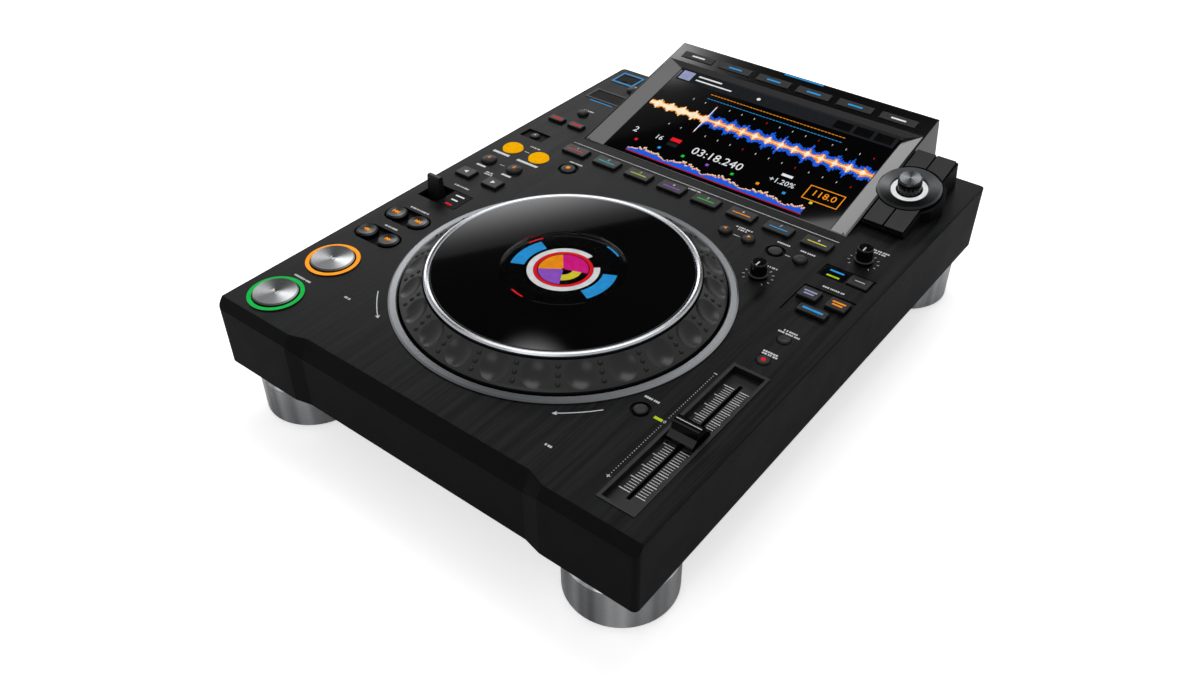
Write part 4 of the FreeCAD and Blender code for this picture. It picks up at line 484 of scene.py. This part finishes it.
# Middle and width of every caption
CAPTIONS = ((-137.0, 194.5, 14.0), (-137.8, 153.0, 18.0), (-137.8, 125.3, 12.0), (-139.0, 48.5, 15.0),
            (106.2, 92.5, 9.0), (138.2, 192.5, 10.0), (138.2, 190.0, 15.0), (138.2, 168.2, 10.0),
            (138.2, 166.0, 9.0), (55.5, 273.0, 13.0), (55.5, 270.4, 7.0), (85.8, 273.5, 9.0),
            (104.5, 273.5, 11.0), (0.0, 294.6, 11.0), (-92.4, 272.0, 12.0), (-133.0, 271.5, 8.0),
            (91.5, 244.5, 13.0), (138.0, 302.0, 17.0), (138.0, 304.6, 21.0), (138.0, 247.0, 16.0),
            (-134.5, 222.0, 7.0), (-134.5, 219.6, 7.0), (-100.0, 52.0, 5.0), (84.5, 29.0, 5.0),
            (-131.6, 404.5, 8.0), (-139.0, 345.5, 9.0))
for x, y, wide in CAPTIONS:
    panel_print += legend(x, y, wide)
marks("panel_print", "chassis", PANEL, print_white, PRINT, panel_print)

# Graduations on the floor of the fader tray, both sides of the slot; every fifth is longer and thicker
TRAY_FLOOR, SLOT_HALF = -4.0, 1.9
fader_lines = []
for step in range(51):
    half, thick = (9.0, 0.55) if step % 5 == 0 else (7.0, 0.35)
    y = FADER_Y - FADER_TRAVEL + 2 * step
    for side in (-1, 1):
        fader_lines.append((bar, FADER_X + side * (half + SLOT_HALF) / 2, y, half - SLOT_HALF, thick))
marks("fader_graduations", "chassis", PANEL, print_white, TRAY_FLOOR + PRINT, fader_lines)
marks("fader_centre_lamp", "chassis", PANEL, lamp["lime"], PRINT, [(bar, 118.5, FADER_Y, 5.5, 2.0)])
CAP_GROOVE = 7.95
marks("fader_cap_line", "tempo_fader", PANEL, print_white, CAP_GROOVE,
      [(bar, FADER_X, FADER_Y + 0.2, 16.4, 0.5)])

# Dark windows beside the lever and beside the jog mode key, with lit lines in them
LEVER_WINDOW_X, MODE_WINDOW_X = -128.7, 129.8
marks("lever_window_glass", "chassis", PANEL, case_abs, -0.2, [(bar, LEVER_WINDOW_X, 178.0, 16.8, 19.8)],
      0.12)
marks("lever_window_white", "chassis", PANEL, lamp["white"], -0.12,
      [(bar, LEVER_WINDOW_X, 184.0, 8.0, 1.4), (bar, LEVER_WINDOW_X, 178.2, 6.0, 1.4)])
marks("lever_window_red", "chassis", PANEL, lamp["red"], -0.12, [(bar, LEVER_WINDOW_X, 172.0, 6.0, 1.6)])
marks("mode_window_glass", "chassis", PANEL, gloss_black, -0.72, [(bar, MODE_WINDOW_X, 263.9, 17.5, 11.5)],
      0.12)
marks("mode_window_blue", "chassis", PANEL, lamp["blue"], -0.64, [(bar, MODE_WINDOW_X, 267.0, 10.0, 1.6)])
marks("mode_window_lime", "chassis", PANEL, lamp["lime"], -0.64, [(bar, MODE_WINDOW_X, 261.0, 9.0, 1.6)])

# Lit rings round cue and play, each in its own colour over the ring solids
RING_IN, RING_OUT, RING_TOP, RING_THICK = 15.3, 18.0, 0.86, 0.14
for key, colour, place in (("cue", "ring_amber", CUE), ("play", "ring_green", PLAY)):
    marks(key + "_ring_light", "chassis", PANEL, lamp[colour], RING_TOP,
          [(arc, *place, RING_IN, RING_OUT, 0, 360)], RING_THICK)

# Symbols on the keys: body, height above the panel, colour, shapes
CAP_TOP, KEY_TOP, DOME_TOP, LOW_TOP = 2.0, 2.2, 3.0, 1.2
KEY_MARK_THICK = 0.3
key_marks = [
    ("play_button", CAP_TOP, print_white, [(arrow, -141.2, PLAY[1], 2.0, -90),
                                           (bar, -137.6, PLAY[1], 0.8, 3.2),
                                           (bar, -136.0, PLAY[1], 0.8, 3.2)]),
    ("cue_button", CAP_TOP, print_white, [(bar, -141.0, CUE[1], 0.8, 3.2), (arrow, -138.4, CUE[1], 2.0, 90)]),
    ("beat_jump_keys", KEY_TOP + PRINT, lamp["white"], [(arrow, -147.5, 210.9, 2.2, 90),
                                                        (arrow, -121.5, 210.9, 2.2, -90)]),
    ("beat_loop_keys", DOME_TOP + PRINT, lamp["orange"], [(figures, "4", -147.7, 235.7, 3.4),
                                                          (figures, "8", -122.5, 235.7, 3.4)]),
    ("reloop_key", LOW_TOP + PRINT, lamp["orange"], [(disc, -92.4, 262.5, 1.7)]),
    ("slip_and_quantize_keys", KEY_TOP + PRINT, lamp["red"], [(bar, -148.6, 317.8, 9.0, 1.7),
                                                              (bar, -129.1, 317.8, 9.0, 1.7)]),
    ("call_keys", DOME_TOP + PRINT, lamp["orange"], [(arrow, 46.3, 262.7, 1.6, 90),
                                                     (arrow, 64.8, 262.7, 1.6, -90)]),
    ("key_sync_key", KEY_TOP + PRINT, lamp["blue"], [(bar, 138.7, 217.4, 14.0, 1.8)]),
    ("jog_mode_key", 1.0 + PRINT, print_white, [(bar, 147.4, 263.9, 7.0, 0.7)]),
    ("touch_mode_key", 0.6 + PRINT, print_white, [(disc, -146.0, 287.2, 0.8)]),
]
for body, height, material, shapes in key_marks:
    marks(body + "_mark", body, PANEL, material, height, shapes, KEY_MARK_THICK)
for side, colour, x in (("left", "lilac", 128.3), ("right", "orange", 148.2)):
    marks("sync_mark_" + side, "sync_and_master_keys", PANEL, lamp[colour], KEY_TOP + PRINT,
          [(bar, x, 234.0, 9.0, 1.4), (bar, x, 231.2, 7.0, 1.4)])
marks("tempo_lock_lamp", "tempo_range_and_lock_keys", PANEL, lamp["red"], 1.1, [(disc, FADER_X, 159.7, 1.5)],
      0.4)

# Search symbols: two arrows each way; track search: two arrows and a bar
for body, (middle, y), has_bar in (("search_keys", SEARCH, False), ("track_search_keys", TRACK_SEARCH, True)):
    shapes = []
    for side in (-1, 1):
        x = middle + side * SEARCH_HALF_GAP
        for i in (0, 1):
            shapes.append((arrow, x + side * (2.2 * i - 1.4), y, 1.9, -90 * side))
        if has_bar:
            shapes.append((bar, x + side * 3.0, y, 0.7, 3.4))
    marks(body + "_mark", body, PANEL, lamp["orange"], 1.5, shapes, 0.4)

# Hot cue keys: a lit line and a number on each
HOT_CUE_COLOURS = ("red", "cyan", "lime", "violet", "green", "orange", "blue", "yellow")
for i, colour in enumerate(HOT_CUE_COLOURS):
    x = HOT_CUE_X + HOT_CUE_STEP * i
    body = "hot_cue_key_%d" % (i + 1)
    marks(body + "_line", body, PANEL, lamp[colour], KEY_TOP + PRINT, [(bar, x, 285.0, 14.0, 0.9)],
          KEY_MARK_THICK)
    marks(body + "_number", body, PANEL, print_white, KEY_TOP + PRINT, [(figures, str(i + 1), x, 288.2, 2.6)],
          KEY_MARK_THICK)

# Lit frame round the stick port, lit ring and spun face of the selector, pointers of the two small knobs
port_x, port_y = STICK_PORT
marks("stick_port_frame", "chassis", PANEL, lamp["blue"], 0.3 + PRINT,
      [(bar, port_x, port_y + side * 8.9, 20.6, 1.5) for side in (-1, 1)]
      + [(bar, port_x + side * 10.1, port_y, 1.2, 16.3) for side in (-1, 1)])
marks("selector_light", "chassis", SCREEN, lamp["white"], -0.3 + PRINT, [(arc, *DIAL, 9.3, 12.7, 0, 360)])
SELECTOR_TOP, SMALL_KNOB_TOP = 10.0, 11.0
marks("selector_knob_face", "selector_knob", SCREEN, dial_knob_metal, SELECTOR_TOP + PRINT,
      [(disc, *DIAL, 7.3, 48)], KEY_MARK_THICK)
for body, (x, y) in SMALL_KNOBS.items():
    marks(body + "_pointer", body, PANEL, print_white, SMALL_KNOB_TOP + PRINT, [(bar, x, y - 2.2, 0.9, 4.4)],
          KEY_MARK_THICK)

# Card lamp, display keys and the lamp on the rear edge of the screen
marks("card_lamp", "chassis", PANEL, lamp["blue"], PRINT, [(bar, -139.5, 363.2, 23.0, 0.9)])
ROW_KEY_RISE = 0.5
for i in range(6):
    colour = "white" if i in (0, 5) else "blue"
    marks("display_key_%d_mark" % (i + 1), "display_keys", SCREEN, lamp[colour], ROW_KEY_RISE + PRINT,
          [(bar, DISPLAY_KEY_X + DISPLAY_KEY_STEP * i, 128.0, 12.0, 1.6)], KEY_MARK_THICK)
marks("display_edge_lamp", "chassis", SCREEN, lamp["blue"], PRINT, [(bar, 2.5, 140.0, 35.0, 1.4)])

# Jog wheel: three small bumps between each pair of dimples, on a band that slopes down from its inner edge
BAND_SLOPE, BAND_INNER_R, BAND_INNER_TOP = 0.7, 88.6, 13.6
bumps = bmesh.new()
for k in range(DIMPLES):
    around = Matrix.Rotation(math.radians(DIMPLE_TURN * (k + 0.5)), 4, "Z")
    for radius in (91.4, 95.8, 100.2):
        height = BAND_INNER_TOP - BAND_SLOPE * (radius - BAND_INNER_R)
        place = (around @ Matrix.Translation((radius, 0, height))
                 @ Matrix.Rotation(math.atan(BAND_SLOPE), 4, "Y") @ Matrix.Diagonal((1, 1, 0.55, 1)))
        bmesh.ops.create_uvsphere(bumps, u_segments=12, v_segments=8, radius=1.6, matrix=place)
for face in bumps.faces:
    face.smooth = True
bmesh.ops.transform(bumps, matrix=JOG, verts=bumps.verts[:])
piece("jog_grip_bumps", "jog_wheel", bumps, key_abs)


def lathe(name, body, profile, material):
    """A ring or disc turned about the jog wheel's axis from radius and height in millimetres."""
    bm = bmesh.new()
    points = [bm.verts.new((r, 0, z)) for r, z in profile]
    edges = [bm.edges.new((points[i], points[(i + 1) % len(points)])) for i in range(len(points))]
    bmesh.ops.spin(bm, geom=points + edges, cent=(0, 0, 0), axis=(0, 0, 1), angle=math.tau, steps=96,
                   use_merge=True)
    bmesh.ops.remove_doubles(bm, verts=bm.verts[:], dist=0.001)
    bmesh.ops.recalc_face_normals(bm, faces=bm.faces[:])
    bmesh.ops.transform(bm, matrix=JOG, verts=bm.verts[:])
    return piece(name, body, bm, material)


# The touch plate: a grooved gloss ring with a clear window over the centre screen
PLATE_TOP, PLATE_LOW, PLATE_R, WINDOW_R, PLATE_BEVEL = 16.0, 13.8, 83.3, 40.5, 0.4
plate_ring = lathe("jog_plate_ring", "jog_plate",
                   [(WINDOW_R, PLATE_LOW), (PLATE_R, PLATE_LOW), (PLATE_R, PLATE_TOP - PLATE_BEVEL),
                    (PLATE_R - PLATE_BEVEL, PLATE_TOP), (WINDOW_R, PLATE_TOP)], plate_gloss)
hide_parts("jog_plate")
window = bmesh.new()
bmesh.ops.create_cone(window, cap_ends=True, segments=96, radius1=WINDOW_R - 0.05, radius2=WINDOW_R - 0.05,
                      depth=PLATE_TOP - PLATE_LOW,
                      matrix=Matrix.Translation((0, 0, (PLATE_TOP + PLATE_LOW) / 2)))
bmesh.ops.transform(window, matrix=JOG, verts=window.verts[:])
piece("jog_plate_window", "jog_plate", window, window_clear)

# Picture on the small centre screen: rings, segments and plain coloured shapes
CENTRE_TOP = 13.05
centre_picture = {
    "white": [(arc, 0, 0, 19.2, 23.2, 75, 402)],
    "red": [(arc, 0, 0, 16.6, 19.0, 0, 360), (arc, 0, 0, 37.0, 38.2, 150, 166),
            (arc, 0, 0, 37.0, 38.2, 252, 268)],
    "blue": [(arc, 0, 0, 25.5, 34.5, -26, 26), (arc, 0, 0, 25.5, 34.5, 154, 206),
             (arc, 0, 0, 37.0, 38.2, 60, 80)],
    "slate": [(arc, 0, 0, 37.0, 38.2, 90, 140), (arc, 0, 0, 37.0, 38.2, 280, 330)],
    "magenta": [(arc, 0, 0, 1.0, 16.0, 20, 130)],
    "orange": [(arc, 0, 0, 1.0, 16.0, 130, 215)],
    "violet": [(arc, 0, 0, 1.0, 16.0, 215, 300)],
    "yellow": [(arc, 0, 0, 6.0, 12.0, 300, 380)],
}
for colour, shapes in centre_picture.items():
    marks("jog_screen_" + colour, "chassis", JOG, lamp[colour], CENTRE_TOP + PRINT, shapes)


# Picture on the tilted screen: header, track position, moving waveform, readings, overview waveform
BUTTON_X, BUTTON_STEP, HEADER_Y = 52.0, 17.0, 104.0
PLAYHEAD, WAVE_START, WAVE_MIDDLE, WAVE_STEP, WAVE_COUNT = -46.0, -98.0, 63.0, 0.9, 218
BEAT, WAVE_BAR, WAVE_REACH = 11.3, 0.92, 12.0
OVERVIEW_X, OVERVIEW_STEP, OVERVIEW_BASE = -81.0, 1.2, 5.0
draw = random.Random(7)
ui = {colour: [] for colour in ("slate", "lilac", "white", "orange", "blue", "wave", "cream", "red", "green",
                                "violet", "yellow")}
ui["slate"] += [(bar, -1.0, 103.5, 194.0, 13.5)]
ui["lilac"] += [(bar, -91.0, HEADER_Y, 11.0, 11.0)]
for t in (91.5, 86.0):
    ui["orange" if t > 90 else "blue"] += [(bar, -58.0 + 3.0 * i, t, 2.3, 0.55) for i in range(40)]
# Bars that swell round each beat: played ones have no blue, and all have a pale core
for i in range(WAVE_COUNT):
    x = WAVE_START + WAVE_STEP * i
    beat = ((x - PLAYHEAD) / BEAT) % 1.0
    near = abs(2 * beat - 1)
    reach = WAVE_REACH * (0.5 + 0.5 * near ** 1.6) * draw.uniform(0.62, 1.0)
    core = 1.0 + 11.0 * near ** 5
    if x < PLAYHEAD:
        ui["orange"].append((bar, x, WAVE_MIDDLE, WAVE_BAR, 1.15 * reach))
        ui["cream"].append((bar, x, WAVE_MIDDLE, WAVE_BAR,
                            0.75 * reach * draw.uniform(0.7, 1.0) + 0.5 * core))
    else:
        ui["wave"].append((bar, x, WAVE_MIDDLE, WAVE_BAR, 2 * reach))
        ui["orange"].append((bar, x, WAVE_MIDDLE, WAVE_BAR,
                             0.95 * reach * draw.uniform(0.5, 1.0) + 0.4 * core))
        ui["cream"].append((bar, x, WAVE_MIDDLE, WAVE_BAR, core * draw.uniform(0.5, 1.0)))
for i in range(15):
    x = PLAYHEAD + BEAT * (i - 2)
    ui["red" if i % 4 == 2 else "white"] += [(bar, x, 80.5, 0.4, 1.8), (bar, x, 45.5, 0.4, 1.8)]
ui["white"] += [(bar, PLAYHEAD, WAVE_MIDDLE, 0.8, 33.0), (bar, -70.0, 107.0, 22.0, 1.6),
                (bar, -64.0, 102.0, 34.0, 1.4), (disc, -22.0, 103.0, 1.6),
                (figures, "03:18.240", -12.0, 27.0, 8.0), (figures, "+1.20%", 44.0, 27.0, 5.0),
                (figures, "2", -88.0, 28.0, 6.0), (figures, "16", -66.0, 28.0, 5.0),
                (bar, 44.0, 35.0, 9.0, 2.6)]
ui["orange"] += [(bar, 78.0, 34.6, 28.0, 0.7), (bar, 78.0, 20.4, 28.0, 0.7), (bar, 64.3, 27.5, 0.7, 14.9),
                 (bar, 91.7, 27.5, 0.7, 14.9), (figures, "118.0", 78.0, 28.0, 6.2)]
ui["red"] += [(bar, -52.0, 31.0, 9.0, 4.0)]
ui["slate"] += [(bar, -52.0, 25.5, 9.0, 4.0)]
ui["slate"] += [(bar, BUTTON_X + BUTTON_STEP * i, HEADER_Y, 15.5, 11.0) for i in range(3)]
CUE_DOTS = ("red", "blue", "green", "violet", "green", "orange", "blue", "yellow")
for i, colour in enumerate(CUE_DOTS):
    ui[colour].append((bar, OVERVIEW_X + 22.0 * i, 18.0, 2.4, 2.4))
for i in range(128):
    x = OVERVIEW_X + OVERVIEW_STEP * i
    tall = 8.0 * (0.35 + 0.65 * abs(math.sin(i * 0.11))) * draw.uniform(0.6, 1.0)
    for colour, middle, share in (("wave", 0.5, 1.0), ("orange", 0.95, 0.24), ("cream", 1.07, 0.12)):
        ui[colour].append((bar, x, OVERVIEW_BASE + tall * middle, OVERVIEW_STEP, tall * share))
ui["red"].append((bar, -4.0, 4.2, 154.0, 0.5))
# Colours lie in thin layers over the glass, so that none shares a face with another
heights = {"slate": 0.03, "lilac": 0.05, "blue": 0.05, "wave": 0.05, "orange": 0.08, "cream": 0.11}
for colour, shapes in ui.items():
    marks("screen_" + colour, "chassis", PICTURE, lamp[colour], GLASS_DEPTH + heights.get(colour, 0.14),
          shapes)
for i in range(3):
    marks("screen_button_%d" % (i + 1), "chassis", PICTURE, gloss_black, GLASS_DEPTH + 0.07,
          [(bar, BUTTON_X + BUTTON_STEP * i, HEADER_Y, 14.3, 9.8)])

# White floor: shows plain white to the camera and through clear parts, and keeps the object's shadow
FLOOR_GLOW = 0.62
floor_material, floor_tree, floor_shader = new_material("white_studio_floor", Roughness=0.8,
                                                        Specular_IOR_Level=0.1)
floor_tone = add(floor_tree, "TexNoise", {"Scale": 0.6, "Detail": 1.0})
floor_mix = add(floor_tree, "Mix", {".data_type": "RGBA", 6: paint("FAFAFA"), 7: paint("FEFEFE")},
                {0: floor_tone.outputs[0]})
floor_tree.links.new(floor_mix.outputs[2], floor_shader.inputs["Base Color"])
floor_path = add(floor_tree, "LightPath")
floor_seen = add(floor_tree, "Math", {".operation": "MAXIMUM"},
                 {0: floor_path.outputs["Is Camera Ray"], 1: floor_path.outputs["Is Transmission Ray"]})
floor_glow = add(floor_tree, "Math", {".operation": "MULTIPLY", 1: FLOOR_GLOW}, {0: floor_seen.outputs[0]})
floor_shader.inputs["Emission Color"].default_value = (1, 1, 1, 1)
floor_tree.links.new(floor_glow.outputs[0], floor_shader.inputs["Emission Strength"])


def stage_sheet(name, material, matrix):
    """A flat sheet of the studio, not part of the object."""
    bm = bmesh.new()
    bmesh.ops.create_grid(bm, x_segments=1, y_segments=1, size=1.0, matrix=matrix)
    item = mesh_object(name, bm, material)
    return item


stage_sheet("studio_floor", floor_material, Matrix.Scale(8.0, 4))

# Black flag behind the object, seen only in gloss and clear parts: polished faces mirror it, and one lit
# strip has the slanting edge that crosses the jog plate. Places on it are metres from FLAG_SPOT.
FLAG_SPOT = Vector((-3.155, 3.609, 3.607))
FLAG_SIDE = Vector((-0.7604, -0.6495, 0.0))
FLAG_UP = Vector((0.3793, -0.4441, 0.8117))
flag_material = bpy.data.materials.new("black_flag_with_lit_strip")
flag_material.use_nodes = True
flag_tree = flag_material.node_tree
flag_tree.nodes.clear()
flag_spot = add(flag_tree, "TexCoord")
flag_from = add(flag_tree, "VectorMath", {".operation": "SUBTRACT", 1: FLAG_SPOT},
                {0: flag_spot.outputs["Object"]})


def flag_ramp(normal, start, end, strength):
    """Brightness that grows across the flag from a straight edge."""
    reach = add(flag_tree, "VectorMath", {".operation": "DOT_PRODUCT", 1: normal}, {0: flag_from.outputs[0]})
    return add(flag_tree, "MapRange", {"From Min": start, "From Max": end, "To Min": 0.0, "To Max": strength},
               {"Value": reach.outputs["Value"]})


def flag_squared(source, strength):
    """A ramp bent so that it starts slowly."""
    bent = add(flag_tree, "Math", {".operation": "POWER", 1: 2.0}, {0: source.outputs[0]})
    return add(flag_tree, "Math", {".operation": "MULTIPLY", 1: strength}, {0: bent.outputs[0]})


def flag_join(operation, *sources):
    """Add or multiply several brightnesses."""
    whole = sources[0]
    for source in sources[1:]:
        whole = add(flag_tree, "Math", {".operation": operation}, {0: whole.outputs[0], 1: source.outputs[0]})
    return whole


STRIP_WAY = -(FLAG_UP - 0.176 * FLAG_SIDE)
STRIP_START, STRIP_END, STRIP_POWER, STRIP_STEP = 0.286, 0.6, 4.6, 0.2
strip = flag_squared(flag_ramp(STRIP_WAY, STRIP_START, STRIP_END, 1.0), STRIP_POWER)
strip_edge = flag_ramp(STRIP_WAY, STRIP_START, STRIP_START + 0.006, STRIP_STEP)
# A second, weaker patch higher up fades across the tilted screen
PATCH_TOP, PATCH_FULL, PATCH_POWER, PATCH_STEP = -1.12, -0.65, 0.9, 0.12
patch = flag_squared(flag_ramp(-FLAG_UP, PATCH_TOP, PATCH_FULL, 1.0), PATCH_POWER)
patch_edge = flag_ramp(-FLAG_UP, PATCH_TOP, PATCH_TOP + 0.01, PATCH_STEP)
patch_above = flag_join("MULTIPLY", flag_join("ADD", patch, patch_edge), flag_ramp(FLAG_SIDE, -0.5, 0.3, 1.0),
                        flag_ramp(FLAG_UP, 0.5, 0.6, 1.0))
# A small bright spot silvers the rear left corner of the screen's housing
GLINT_AT, GLINT_R, GLINT_POWER = 0.2 * FLAG_SIDE + 0.62 * FLAG_UP, 0.32, 14.0
glint_far = add(flag_tree, "VectorMath", {".operation": "DISTANCE", 1: GLINT_AT}, {0: flag_from.outputs[0]})
glint_near = add(flag_tree, "MapRange", {"From Min": GLINT_R, "From Max": 0.0},
                 {"Value": glint_far.outputs["Value"]})
flag_total = flag_join("ADD", strip, strip_edge, patch_above, flag_squared(glint_near, GLINT_POWER))
flag_floor = add(flag_tree, "Math", {".operation": "ADD", 1: 0.02}, {0: flag_total.outputs[0]})
flag_glow = add(flag_tree, "Emission", {"Color": (1, 1, 1, 1)}, {"Strength": flag_floor.outputs[0]})
add(flag_tree, "OutputMaterial", links={"Surface": flag_glow.outputs[0]})
flag_turn = Matrix((FLAG_SIDE.normalized(), FLAG_UP.normalized(),
                    FLAG_SIDE.cross(FLAG_UP).normalized())).transposed().to_4x4()
flag = stage_sheet("black_flag", flag_material, Matrix.Translation(FLAG_SPOT + 0.9 * FLAG_UP) @ flag_turn
                   @ Matrix.Diagonal((2.6, 2.3, 1.0, 1.0)))
flag.visible_camera = False
flag.visible_diffuse = False
flag.visible_shadow = False

# World: plain white where it is seen, mirrored or looked through, and a weaker light on the object
WORLD_LIGHT, WORLD_SEEN = 0.3, 1.0
world = bpy.data.worlds.new("studio")
bpy.context.scene.world = world
world.use_nodes = True
sky = world.node_tree
sky.nodes.clear()
path = add(sky, "LightPath")
seen = add(sky, "Math", {".operation": "MAXIMUM"},
           {0: path.outputs["Is Camera Ray"], 1: path.outputs["Is Transmission Ray"]})
any_seen = add(sky, "Math", {".operation": "MAXIMUM"}, {0: seen.outputs[0], 1: path.outputs["Is Glossy Ray"]})
level = add(sky, "MapRange", {"To Min": WORLD_LIGHT, "To Max": WORLD_SEEN}, {"Value": any_seen.outputs[0]})
back = add(sky, "Background", {"Color": (1, 1, 1, 1)}, {"Strength": level.outputs[0]})
add(sky, "OutputWorld", links={"Surface": back.outputs[0]})


def soft_lamp(name, spot, target, wide, deep, power):
    """A rectangular softbox that looks at a point."""
    lamp_data = bpy.data.lights.new(name, "AREA")
    lamp_data.shape, lamp_data.size, lamp_data.size_y, lamp_data.energy = "RECTANGLE", wide, deep, power
    item = bpy.data.objects.new(name, lamp_data)
    item.location = spot
    item.rotation_mode = "QUATERNION"
    item.rotation_quaternion = (Vector(target) - Vector(spot)).to_track_quat("-Z", "Y")
    bpy.context.scene.collection.objects.link(item)


soft_lamp("overhead_softbox", (-0.3, 0.5, 1.7), (0, 0, 0.08), 1.4, 1.0, 14)
soft_lamp("front_fill", (0.4, -1.4, 0.9), (0, 0, 0.05), 0.9, 0.7, 3)

# Camera fitted to the photograph: its lens in millimetres, how far it looks down, and its turn
CAMERA_LENS, CAMERA_DOWN, CAMERA_TURN = 31.506, 38.90, 37.82
camera_data = bpy.data.cameras.new("camera")
camera_data.lens, camera_data.sensor_width = CAMERA_LENS, 36.0
camera = bpy.data.objects.new("camera", camera_data)
camera.location = (0.35038, -0.49556, 0.48198)
camera.rotation_euler = (math.radians(90 - CAMERA_DOWN), 0, math.radians(CAMERA_TURN))
bpy.context.scene.collection.objects.link(camera)
bpy.context.scene.camera = camera
bpy.context.scene.view_settings.view_transform = "Standard"
